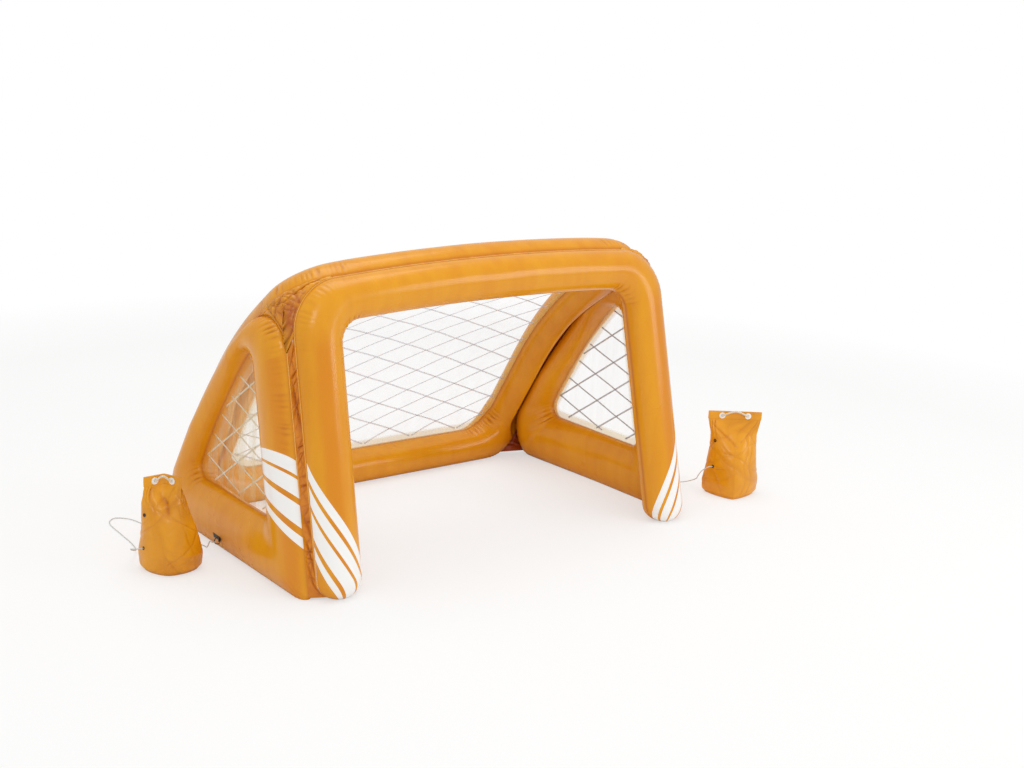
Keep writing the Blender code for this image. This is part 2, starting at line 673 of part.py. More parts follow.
def solidify(obj, thickness, offset):
    """Gives an open sheet or a closed skin its wall."""
    modifier = obj.modifiers.new("wall", "SOLIDIFY")
    modifier.thickness = thickness
    modifier.offset = offset
    return modifier


def mesh_from(bm, name, outwards=True):
    """Finishes a bmesh as a mesh."""
    if outwards:
        bmesh.ops.recalc_face_normals(bm, faces=bm.faces)
    mesh = bpy.data.meshes.new(name)
    bm.to_mesh(mesh)
    bm.free()
    return mesh


def loft(name, rings, closed=False, first_cap=False, last_cap=False):
    """Quads between successive rings of points, each ring closed."""
    bm = bmesh.new()
    rows = [[bm.verts.new(point) for point in ring] for ring in rings]
    pairs = list(zip(rows, rows[1:]))
    if closed:
        pairs.append((rows[-1], rows[0]))
    for row, following in pairs:
        for k in range(len(row)):
            near = (k + 1) % len(row)
            bm.faces.new((row[k], row[near], following[near], following[k]))
    if first_cap:
        bm.faces.new(rows[0])
    if last_cap:
        bm.faces.new(rows[-1])
    return mesh_from(bm, name)


def outline_mesh(name, profile, ring_shaped):
    """A profile at +X for a turned piece, listed down its outer side."""
    mesh = bpy.data.meshes.new(name)
    edges = [(k, k + 1) for k in range(len(profile) - 1)]
    if ring_shaped:
        edges.append((len(profile) - 1, 0))
    mesh.from_pydata([(radius, 0, height) for radius, height in profile], edges, [])
    return mesh


def add_screw(obj, steps):
    """Turns a profile round its object's Z axis."""
    modifier = obj.modifiers.new("turn", "SCREW")
    modifier.steps = steps
    modifier.render_steps = steps
    modifier.use_merge_vertices = True
    modifier.merge_threshold = 0.00001
    return modifier


def box_mesh(size):
    """A box centred on its origin."""
    bm = bmesh.new()
    bmesh.ops.create_cube(bm, size=1.0)
    bmesh.ops.scale(bm, vec=size, verts=bm.verts)
    return bm


def round_mesh(radius, depth, sides):
    """A cylinder round Z, centred on its origin."""
    bm = bmesh.new()
    bmesh.ops.create_cone(bm, cap_ends=True, segments=sides, radius1=radius, radius2=radius, depth=depth)
    return bm


def cylinder(name, radius, depth, sides):
    """A closed cylinder round Z as a finished mesh."""
    return mesh_from(round_mesh(radius, depth, sides), name)


def frame_matrix(point, normal, up):
    """Matrix of a frame at a point with Z along a normal and X as near to a direction as that allows."""
    z_axis = Vector(normal).normalized()
    x_axis = (Vector(up) - Vector(up).dot(z_axis) * z_axis).normalized()
    y_axis = z_axis.cross(x_axis)
    matrix = Matrix((x_axis, y_axis, z_axis)).transposed().to_4x4()
    matrix.translation = Vector(point)
    return matrix


# Chambers

ARCH_RINGS, ARCH_FIRST, _ = arch_half()
SIDE_RINGS, SIDE_FIRST, SIDE_INNER = side_rings()
BACK_RINGS, BACK_FIRST, BACK_INNER = back_half()
FLANK = SECTION_POINTS // 4


def facet(rings, station, side_index, share):
    """Centre, outward normal and run direction of a chamber's facet between two stations."""
    low, high = rings[station], rings[(station + 1) % len(rings)]
    a, b = low[side_index], low[(side_index + 1) % SECTION_POINTS]
    c, d = high[side_index], high[(side_index + 1) % SECTION_POINTS]
    centre = (1 - share) * (a + b) / 2 + share * (c + d) / 2
    normal = unit(np.cross(c - a, b - a))
    middle = (1 - share) * low.mean(0) + share * high.mean(0)
    if normal @ (centre - middle) < 0:
        normal = -normal
    return centre, normal, unit(c - a)


def add_chamber(name, mesh, valve_point, valve_normal, mirror):
    """An inflated chamber: its skin, with the hole that its valve sits in."""
    obj = add_object(name, mesh, "vinyl")
    if mirror:
        modifier = obj.modifiers.new("other_half", "MIRROR")
        modifier.merge_threshold = 0.00001
    solidify(obj, SKIN_THICKNESS, -1)
    hole = cylinder(name + "_valve_hole", VALVE_COLLAR_RADIUS + VALVE_CLEARANCE, VALVE_CUT_DEPTH, VALVE_STEPS)
    tool = add_cutter(name + "_valve_hole", hole, matrix=frame_matrix(valve_point, valve_normal, (0, 0, 1)))
    boolean(obj, tool, "DIFFERENCE")
    return obj


def add_valve(name, point, normal, hinge_way):
    """A valve base in a chamber's wall, and the stopper that hinges on the post of its flange."""
    seat = frame_matrix(Vector(point) + Vector(normal) * VALVE_CLEARANCE, normal, hinge_way)
    flange_top = VALVE_FLANGE_THICKNESS
    collar_top = flange_top + VALVE_COLLAR_HEIGHT
    profile = [
        (VALVE_COLLAR_RADIUS, collar_top), (VALVE_COLLAR_RADIUS, flange_top),
        (VALVE_FLANGE_RADIUS, flange_top), (VALVE_FLANGE_RADIUS, 0),
        (VALVE_COLLAR_RADIUS, 0), (VALVE_COLLAR_RADIUS, -VALVE_STEM_DEPTH),
        (VALVE_BORE_RADIUS, -VALVE_STEM_DEPTH), (VALVE_BORE_RADIUS, collar_top),
    ]
    flange = outline_mesh(name + "_base", profile, True)
    base = add_object(name + "_base", flange, "valve_plastic", matrix=seat)
    add_screw(base, VALVE_STEPS)
    post_low = flange_top / 2
    post = box_mesh((POST_LENGTH, STRAP_WIDTH, collar_top - post_low))
    post_seat = seat @ Matrix.Translation((STRAP_REACH, 0, (collar_top + post_low) / 2))
    boolean(base, add_cutter(name + "_post", mesh_from(post, name + "_post"), matrix=post_seat), "UNION")
    # The stopper is modelled round its hinge, in the strap's knuckle over the post
    half = STRAP_THICKNESS / 2
    hinge = seat @ Matrix.Translation((STRAP_REACH, 0, collar_top + VALVE_CLEARANCE + half))
    round_part = [
        (0, STOPPER_CAP_THICKNESS - half), (STOPPER_CAP_RADIUS, STOPPER_CAP_THICKNESS - half),
        (STOPPER_CAP_RADIUS, -half), (STOPPER_PLUG_TOP_RADIUS, -half),
        (STOPPER_PLUG_TIP_RADIUS, -half - STOPPER_PLUG_LENGTH), (0, -half - STOPPER_PLUG_LENGTH),
    ]
    strap_end = -STRAP_REACH + STOPPER_CAP_RADIUS / 2
    knuckle = [(half * math.sin(a), half * math.cos(a)) for a in np.linspace(0, math.pi, KNUCKLE_POINTS)]
    bm = bmesh.new()
    face = bm.faces.new([bm.verts.new((x, -STRAP_WIDTH / 2, z)) for x, z in
                         [*knuckle, (strap_end, -half), (strap_end, half)]])
    grown = bmesh.ops.extrude_face_region(bm, geom=[face])
    moved = [part for part in grown["geom"] if isinstance(part, bmesh.types.BMVert)]
    bmesh.ops.translate(bm, verts=moved, vec=(0, STRAP_WIDTH, 0))
    stopper = add_object(name + "_stopper", mesh_from(bm, name + "_stopper"), "valve_plastic", matrix=hinge)
    plug = add_cutter(name + "_plug", outline_mesh(name + "_plug", round_part, False),
                      matrix=hinge @ Matrix.Translation((-STRAP_REACH, 0, 0)))
    add_screw(plug, VALVE_STEPS)
    boolean(stopper, plug, "UNION")


arch_station = ARCH_FIRST["leg"]
leg_low, leg_high = ARCH_RINGS[arch_station + 1, 0, 2], ARCH_RINGS[arch_station, 0, 2]
arch_share = (leg_high - ARCH_VALVE_HEIGHT) / (leg_high - leg_low)
ARCH_VALVE = facet(ARCH_RINGS, arch_station, FLANK, arch_share)
side_station = SIDE_FIRST["front"]
front_low, front_high = SIDE_RINGS[side_station, 0, 2], SIDE_RINGS[side_station + 1, 0, 2]
side_share = (SIDE_VALVE_HEIGHT - front_low) / (front_high - front_low)
SIDE_VALVE = facet(SIDE_RINGS, side_station, SECTION_POINTS - FLANK - 1, side_share)
straight = int(np.argmax(np.diff(BREAKS[1:-1]))) + 1
passed = (BREAKS > BACK_TOP_WIDTH + BACK_INNER_RADIUS + BREAK_MARGIN) & (BREAKS <= BREAKS[straight] + 1e-6)
back_station = BACK_FIRST["leg"] + int(np.sum(passed))
BACK_VALVE = facet(BACK_RINGS, back_station, FLANK, BACK_VALVE_SHARE)


def build_chambers():
    """The four chambers with their valves. The valves of the arch and the back are in their left halves."""
    flip = np.array((-1.0, 1.0, 1.0))
    arch_mesh = loft("front_arch_chamber", ARCH_RINGS, last_cap=True)
    add_chamber("front_arch_chamber", arch_mesh, ARCH_VALVE[0] * flip, ARCH_VALVE[1] * flip, True)
    add_valve("arch_valve", ARCH_VALVE[0] * flip, ARCH_VALVE[1] * flip, (0, 0, 1))
    for side, way in (("left", -1.0), ("right", 1.0)):
        flip = np.array((way, 1.0, 1.0))
        mesh = loft(side + "_side_chamber", SIDE_RINGS * flip, closed=True)
        add_chamber(side + "_side_chamber", mesh, SIDE_VALVE[0] * flip, SIDE_VALVE[1] * flip, False)
        add_valve(side + "_side_valve", SIDE_VALVE[0] * flip, SIDE_VALVE[1] * flip, (0, 0, 1))
    flip = np.array((-1.0, 1.0, 1.0))
    back_mesh = loft("back_frame_chamber", BACK_RINGS)
    add_chamber("back_frame_chamber", back_mesh, BACK_VALVE[0] * flip, BACK_VALVE[1] * flip, True)
    add_valve("back_valve", BACK_VALVE[0] * flip, BACK_VALVE[1] * flip, (0, 0, 1))


# Webs and gussets

def ruled(edge_a, edge_b):
    """Two paths with points at the fractions of both, so that each keeps its own corners."""
    share_a = lengths_along(edge_a) / lengths_along(edge_a)[-1]
    share_b = lengths_along(edge_b) / lengths_along(edge_b)[-1]
    shares = np.concatenate([share_a, share_b])
    shares = np.sort(shares)
    keep = np.concatenate([[True], np.diff(shares) > SAME_SHARE])
    shares = shares[keep]
    for own in (share_a, share_b):
        nearest = np.argmin(np.abs(shares[:, None] - own[None]), 0)
        shares[nearest] = np.where(np.abs(shares[nearest] - own) < SAME_SHARE, own, shares[nearest])
    return points_at(edge_a, shares), points_at(edge_b, shares)


def add_sheet_between(name, edge_a, edge_b):
    """A thin web between two weld lines, which stops short of both."""
    line_a, line_b = ruled(edge_a, edge_b)
    across = line_b - line_a
    across /= np.linalg.norm(across, axis=1)[:, None]
    rows = [line_a + across * WEB_CLEARANCE, line_b - across * WEB_CLEARANCE]
    bm = bmesh.new()
    lines = [[bm.verts.new(point) for point in row] for row in rows]
    for k in range(len(line_a) - 1):
        bm.faces.new((lines[0][k], lines[0][k + 1], lines[1][k + 1], lines[1][k]))
    obj = add_object(name, mesh_from(bm, name), "web_vinyl")
    solidify(obj, WEB_THICKNESS, 0)
    return obj


def shortened(path, start, end):
    """A path cut short by a length at each end."""
    total = lengths_along(path)[-1]
    along = lengths_along(path) / total
    low, high = start / total, 1 - end / total
    inside = along[(along > low + SAME_SHARE / 2) & (along < high - SAME_SHARE / 2)]
    return points_at(path, np.concatenate([[low], inside, [high]]))


def above(path, height):
    """The part of a path, high end first, that lies above a height."""
    place = int(np.argmax(path[:, 2] < height))
    if place == 0:
        return path
    high, low = path[place - 1], path[place]
    share = (high[2] - height) / (high[2] - low[2])
    return np.concatenate([path[:place], [high + share * (low - high)]])


HEEL_START_Z = PROFILE[-2 - HEEL_STEPS, 1]


def build_webs():
    """Webs along the seams, and the gussets where three chambers meet."""
    corner = ARCH_FIRST["corner"] + 1
    arch_arc = ARCH_RINGS[corner:corner + CORNER_STEPS + 1, 0]
    arch_leg = ARCH_RINGS[corner + CORNER_STEPS:, 0]
    side_top = SIDE_FIRST["top"]
    side_arc = SIDE_RINGS[side_top:side_top + CORNER_STEPS + 1, 0]
    side_front = SIDE_RINGS[1:side_top + 1, 0]
    top_corner = BACK_FIRST["top_corner"] + 1
    back_arc = BACK_RINGS[top_corner:top_corner + CORNER_STEPS + 1, 0]
    back_arc_end = top_corner + CORNER_STEPS
    back_down = BACK_RINGS[back_arc_end:, 0]
    back_down = back_down[:int(np.argmax(back_down[:, 2] <= 0)) + 1]
    side_down = np.roll(SIDE_RINGS, -(side_top + CORNER_STEPS), axis=0)[:, 0]
    side_down = side_down[:int(np.argmax(side_down[:, 2] <= 0)) + 1]
    for side, way in (("left", -1.0), ("right", 1.0)):
        flip = np.array((way, 1.0, 1.0))
        front_a = shortened(above(arch_leg, WEB_END_HEIGHT), WEB_END_GAP, 0.0)
        front_b = shortened(above(side_front[::-1], WEB_END_HEIGHT), WEB_END_GAP, 0.0)
        add_sheet_between(side + "_front_web", front_a * flip, front_b * flip)
        rear_a, floor_a = split_at(side_down, HEEL_START_Z)
        rear_b, floor_b = split_at(back_down, HEEL_START_Z)
        add_sheet_between(side + "_rear_web", shortened(rear_a, WEB_END_GAP, WEB_END_GAP) * flip,
                          shortened(rear_b, WEB_END_GAP, WEB_END_GAP) * flip)
        add_sheet_between(side + "_floor_gusset", above(floor_a, GUSSET_END_HEIGHT) * flip,
                          above(floor_b, GUSSET_END_HEIGHT) * flip)
        loop = np.concatenate([arch_arc, side_arc, back_arc[::-1]]) * flip
        add_gusset(side + "_top_gusset", loop, flip)
    flip = np.array((-1.0, 1.0, 1.0))
    bar_a = np.array([ARCH_RINGS[corner, 0] * flip, ARCH_RINGS[corner, 0]])
    bar_b = np.array([BACK_RINGS[top_corner, 0] * flip, BACK_RINGS[top_corner, 0]])
    add_sheet_between("top_web", shortened(bar_a, WEB_END_GAP, WEB_END_GAP),
                      shortened(bar_b, WEB_END_GAP, WEB_END_GAP))


def split_at(path, height):
    """Cuts a falling path in two at the point nearest to a height."""
    place = int(np.argmin(np.abs(path[:, 2] - height)))
    return path[:place + 1], path[place:]


def add_gusset(name, loop, flip):
    """A puffed three-sided patch inside a loop of weld line points."""
    centre = loop.mean(0)
    outward = unit(np.array(GUSSET_WAY) * flip)
    toward = centre - loop
    distance = np.linalg.norm(toward, axis=1)[:, None]
    rim = loop + toward / distance * GUSSET_RIM_INSET + outward * GUSSET_RIM_LIFT
    middle = loop + toward * GUSSET_SHOULDER + outward * GUSSET_BULGE * GUSSET_SHOULDER_SHARE
    peak = centre + outward * GUSSET_BULGE
    bm = bmesh.new()
    rim_verts = [bm.verts.new(point) for point in rim]
    middle_verts = [bm.verts.new(point) for point in middle]
    top = bm.verts.new(peak)
    for k in range(len(loop)):
        near = (k + 1) % len(loop)
        bm.faces.new((rim_verts[k], rim_verts[near], middle_verts[near], middle_verts[k]))
        bm.faces.new((middle_verts[k], middle_verts[near], top))
    obj = add_object(name, mesh_from(bm, name), "web_vinyl")
    solidify(obj, WEB_THICKNESS, 0)


# Films and their printed net

def inset_polygon(points, distance):
    """A convex outline moved inwards by a distance, corner by corner."""
    points = np.asarray(points, float)
    area = np.sum(points[:, 0] * np.roll(points[:, 1], -1) - np.roll(points[:, 0], -1) * points[:, 1])
    following = np.roll(points, -1, axis=0) - points
    following /= np.linalg.norm(following, axis=1)[:, None]
    inward = np.stack([-following[:, 1], following[:, 0]], 1) * np.sign(area)
    before = np.roll(inward, 1, axis=0)
    mitre = inward + before
    mitre /= np.sum(mitre * inward, 1)[:, None]
    return points + mitre * distance


def clip_line(point, along, polygon):
    """Range of a line's parameter inside a convex outline, or None."""
    area = np.sum(polygon[:, 0] * np.roll(polygon[:, 1], -1) - np.roll(polygon[:, 0], -1) * polygon[:, 1])
    low, high = -1e9, 1e9
    for start, end in zip(polygon, np.roll(polygon, -1, axis=0)):
        edge = end - start
        inward = np.array((-edge[1], edge[0])) * np.sign(area)
        rate = inward @ along
        distance = inward @ (point - start)
        if abs(rate) < 1e-12:
            if distance < 0:
                return None
            continue
        crossing = -distance / rate
        if rate > 0:
            low = max(low, crossing)
        else:
            high = min(high, crossing)
    return (low, high) if high > low else None


def net_mesh(polygon, node, long_half, short_half):
    """Flat net pattern inside an outline: a rhombus at each crossing, bars between them, free ends."""
    first, second = long_half + short_half, long_half - short_half
    along = (unit(first), unit(second))
    steps = (np.linalg.norm(first), np.linalg.norm(second))
    sine = abs(along[0][0] * along[1][1] - along[0][1] * along[1][0])
    reach = NET_LINE_WIDTH / 2 / sine
    inside = inset_polygon(polygon, NET_EDGE_MARGIN)
    ranges = ({}, {})
    for k in range(-NET_LINE_STEPS, NET_LINE_STEPS + 1):
        for family, (step, other) in enumerate(((first, second), (second, first))):
            clipped = clip_line(np.asarray(node) + k * other, step, inside)
            if clipped:
                ranges[family][k] = clipped
    margin = NET_CROSSING_REACHES * reach / steps[0]
    nodes = {}
    bm = bmesh.new()
    for j, (low, high) in ranges[0].items():
        for i in range(math.ceil(low + margin), math.floor(high - margin) + 1):
            if i in ranges[1] and ranges[1][i][0] + margin <= j <= ranges[1][i][1] - margin:
                centre = np.asarray(node) + i * first + j * second
                nodes[i, j] = {
                    (a, b): bm.verts.new((*(centre + reach * (a * along[0] + b * along[1])), 0.0))
                    for a in (-1, 1) for b in (-1, 1)
                }
    for (i, j), corners in nodes.items():
        bm.faces.new((corners[-1, -1], corners[1, -1], corners[1, 1], corners[-1, 1]))
        for family, sign in ((0, 1), (0, -1), (1, 1), (1, -1)):
            key = (i + sign, j) if family == 0 else (i, j + sign)
            ends = [corners[(sign, b) if family == 0 else (b, sign)] for b in (-1, 1)]
            if key in nodes:
                if sign > 0:
                    other = nodes[key]
                    far = [other[(-1, b) if family == 0 else (b, -1)] for b in (-1, 1)]
                    bm.faces.new((ends[0], far[0], far[1], ends[1]))
                continue
            limit = ranges[family][j if family == 0 else i][1 if sign > 0 else 0]
            length = abs(limit - (i if family == 0 else j)) * steps[family] - reach
            if length > NET_LINE_WIDTH:
                shift = Vector((*(along[family] * sign * length), 0.0))
                far = [bm.verts.new(vert.co + shift) for vert in ends]
                bm.faces.new((ends[0], far[0], far[1], ends[1]))
    return bm


def place_flat(bm, place, offset):
    """Moves a flat mesh (its X and Y) onto a panel."""
    flat = np.array([vert.co[:2] for vert in bm.verts])
    for vert, point in zip(bm.verts, place(flat, np.full(len(flat), offset))):
        vert.co = point


def polygon_mesh(polygon):
    """A flat mesh of one face."""
    bm = bmesh.new()
    bm.faces.new([bm.verts.new((*point, 0.0)) for point in polygon])
    return bm


def fold_at_breaks(bm):
    """Cuts a flat sheet of the back where the profile bends."""
    for level in BREAKS[1:-1]:
        geometry = list(bm.verts) + list(bm.edges) + list(bm.faces)
        bmesh.ops.bisect_plane(bm, geom=geometry, dist=1e-6, plane_co=(0, level, 0), plane_no=(0, 1, 0))


PRINT_OFFSET = -(FILM_THICKNESS / 2 + PRINT_CLEARANCE + PRINT_THICKNESS / 2)


def turned_flat(vector, angle):
    """A flat vector turned by an angle."""
    cos, sin = math.cos(angle), math.sin(angle)
    return np.array((cos * vector[0] - sin * vector[1], sin * vector[0] + cos * vector[1]))


def build_windows():
    """The clear films in the three closed windows and the net printed on each."""
    half = BACK_INNER
    outline = np.concatenate([half, (half * np.array((-1, 1)))[-2:0:-1]])
    film = polygon_mesh(inset_polygon(outline, FILM_CLEARANCE))
    fold_at_breaks(film)
    place_flat(film, on_back, 0.0)
    obj = add_object("back_net_film", mesh_from(film, "back_net_film"), "clear_film")
    solidify(obj, FILM_THICKNESS, 0)
    net = net_mesh(outline, NET_BACK_NODE, np.array((NET_HALF_LONG, 0.0)), np.array((0.0, NET_HALF_SHORT)))
    fold_at_breaks(net)
    place_flat(net, on_back, PRINT_OFFSET)
    obj = add_object("back_net_print", mesh_from(net, "back_net_print"), "net_print")
    solidify(obj, PRINT_THICKNESS, 0)
    for side, way in (("left", -1.0), ("right", 1.0)):
        def place(flat, offset, way=way):
            return on_side(flat, offset) * np.array((way, 1.0, 1.0))
        film = polygon_mesh(inset_polygon(SIDE_INNER, FILM_CLEARANCE))
        place_flat(film, place, 0.0)
        obj = add_object(side + "_net_film", mesh_from(film, side + "_net_film"), "clear_film")
        solidify(obj, FILM_THICKNESS, 0)
        long_half = turned_flat((NET_HALF_LONG, 0.0), NET_SIDE_TURN)
        short_half = turned_flat((0.0, NET_HALF_SHORT), NET_SIDE_TURN)
        net = net_mesh(SIDE_WINDOW, NET_SIDE_NODE, long_half, short_half)
        place_flat(net, place, PRINT_OFFSET)
        obj = add_object(side + "_net_print", mesh_from(net, side + "_net_print"), "net_print")
        solidify(obj, PRINT_THICKNESS, 0)


# Tethers

def moved_mesh(bm, name, matrix, flip):
    """Places a mesh built round its origin at a frame on the right, then mirrors it if need be."""
    bm.transform(matrix)
    for vert in bm.verts:
        vert.co.x *= flip[0]
    return mesh_from(bm, name)


def wire(name, points, radius, finish, parent, cyclic=False):
    """A round wire or cord along a path, as a curve with a bevel."""
    curve = bpy.data.curves.new(name, "CURVE")
    curve.dimensions = "3D"
    curve.bevel_depth = radius
    curve.bevel_resolution = 2
    curve.use_fill_caps = True
    spline = curve.splines.new("POLY")
    spline.points.add(len(points) - 1)
    for target, point in zip(spline.points, points):
        target.co = (*point, 1.0)
    spline.use_cyclic_u = cyclic
    return add_object(name, curve, finish, parent)


def smooth_path(waypoints, count):
    """A smooth path through waypoints, as evenly spaced points."""
    stops = np.asarray(waypoints, float)
    padded = np.concatenate([[2 * stops[0] - stops[1]], stops, [2 * stops[-1] - stops[-2]]])
    steps = np.linspace(0, 1, PATH_STEPS, endpoint=False)[:, None]
    parts = []
    for a, b, c, d in zip(padded, padded[1:], padded[2:], padded[3:]):
        gap = np.linalg.norm(c - b)
        slope_b = (c - a) * gap / (np.linalg.norm(b - a) + gap)
        slope_c = (d - b) * gap / (np.linalg.norm(d - c) + gap)
        cubic = 2 * (b - c) + slope_b + slope_c
        square = 3 * (c - b) - 2 * slope_b - slope_c
        parts.append(b + steps * slope_b + steps ** 2 * square + steps ** 3 * cubic)
    path = np.concatenate(parts + [stops[-1:]])
    return points_at(path, np.linspace(0, 1, count))


BOTTOM_STATION = SIDE_FIRST["bottom"]
bottom_high_y, bottom_low_y = SIDE_RINGS[BOTTOM_STATION, 0, 1], SIDE_RINGS[0, 0, 1]
TAB_SHARE = (bottom_high_y - TETHER_TAB_Y) / (bottom_high_y - bottom_low_y)
TAB_CENTRE, TAB_NORMAL, TAB_RUN = facet(SIDE_RINGS, BOTTOM_STATION, TETHER_SECTION_STEPS, TAB_SHARE)
PIVOT = TAB_CENTRE + TAB_RUN * TETHER_TAB_LENGTH / 2 + TAB_NORMAL * RING_STAND_OFF


def build_tether_tab(side, flip):
    """The tab on the side chamber: a welded patch whose front end holds an upright sleeve."""
    name = side + "_tether_tab"
    middle = VALVE_CLEARANCE + TETHER_TAB_THICKNESS / 2
    patch = box_mesh((TETHER_TAB_LENGTH, TETHER_TAB_HEIGHT, TETHER_TAB_THICKNESS))
    patch_seat = frame_matrix(TAB_CENTRE + TAB_NORMAL * middle, TAB_NORMAL, TAB_RUN)
    tab = add_object(name, moved_mesh(patch, name, patch_seat, flip), "black_plastic")
    ahead = TAB_RUN * (TETHER_TAB_LENGTH - NECK_LENGTH) / 2
    neck_centre = TAB_CENTRE + ahead + TAB_NORMAL * (middle + RING_STAND_OFF) / 2
    neck = box_mesh((NECK_LENGTH, NECK_HEIGHT, RING_STAND_OFF - middle))
    neck_seat = frame_matrix(neck_centre, TAB_NORMAL, TAB_RUN)
    neck_tool = add_cutter(name + "_neck", moved_mesh(neck, name + "_neck", neck_seat, flip))
    upright = Matrix.Translation(Vector(PIVOT))
    sleeve = round_mesh(SLEEVE_RADIUS, SLEEVE_LENGTH, SLEEVE_STEPS)
    sleeve_tool = add_cutter(name + "_sleeve", moved_mesh(sleeve, name + "_sleeve", upright, flip))
    bore = round_mesh(RING_WIRE_RADIUS + RING_CLEARANCE, SLEEVE_LENGTH * 2, SLEEVE_STEPS)
    bore_tool = add_cutter(name + "_bore", moved_mesh(bore, name + "_bore", upright, flip))
    boolean(tab, neck_tool, "UNION")
    boolean(tab, sleeve_tool, "UNION")
    boolean(tab, bore_tool, "DIFFERENCE")


def ring_path():
    """Centre line of the D ring in its own plane: X away from the bar, Z up, the bar on X = 0."""
    half_bar = math.sqrt(RING_RADIUS ** 2 - RING_OFFSET ** 2)
    end = math.atan2(half_bar, -RING_OFFSET)
    angles = np.linspace(end, -end, RING_POINTS)
    return np.stack([RING_OFFSET + RING_RADIUS * np.cos(angles), 0 * angles, RING_RADIUS * np.sin(angles)], 1)


def hook_path(centre, forward, turn_sign):
    """Cord round the ring's outermost wire, from its inner side to where the cord leaves sideways."""
    radius = RING_WIRE_RADIUS + RING_CLEARANCE + CORD_RADIUS
    side = np.array((-forward[1], forward[0], 0.0)) * turn_sign
    angles = np.linspace(HOOK_START, HOOK_END, HOOK_POINTS)
    return centre + radius * (np.cos(angles)[:, None] * forward + np.sin(angles)[:, None] * side)


# Bags

def bag_ring(level, shrink=0.0):
    """Outline of a bag at a level, smaller by a distance all round, in the bag's own X and Y."""
    height, width, depth, power, fold, shift = level
    angles = np.arange(BAG_POINTS) * 2 * math.pi / BAG_POINTS
    cos, sin = np.cos(angles), np.sin(angles)
    x = (width / 2 - shrink) * np.sign(cos) * np.abs(cos) ** (2 / power)
    y = (depth / 2 - shrink) * np.sign(sin) * np.abs(sin) ** (2 / power)
    y = y + fold * (0.5 - np.abs(x) / (width / 2))
    return np.stack([x + shift, y, np.full(BAG_POINTS, height)], 1)


def bag_level(levels, height):
    """The level between two given ones at a height."""
    table = np.array(levels)
    return tuple(float(np.interp(height, table[:, 0], column)) for column in table.T)


def bag_matrix(place, turn):
    """Frame of a bag: its base's centre on the floor, X along its width, -Y to its face."""
    return Matrix.Translation((*place, 0.0)) @ Matrix.Rotation(turn, 4, "Z")


def header_frame(levels, way):
    """Place and turn of a top eyelet in the bag's frame: on the left or right half of the header."""
    top, low = levels[-1], levels[-2]
    height = (top[0] + low[0]) / 2
    width, fold = (top[1] + low[1]) / 2, (top[4] + low[4]) / 2
    x = way * EYELET_SPACING * width / 2
    slope = -way * fold / (width / 2)
    point = (x + top[5], fold * (0.5 - EYELET_SPACING), height)
    return frame_matrix(point, (slope, -1.0, 0.0), (1.0, 0.0, 0.0))


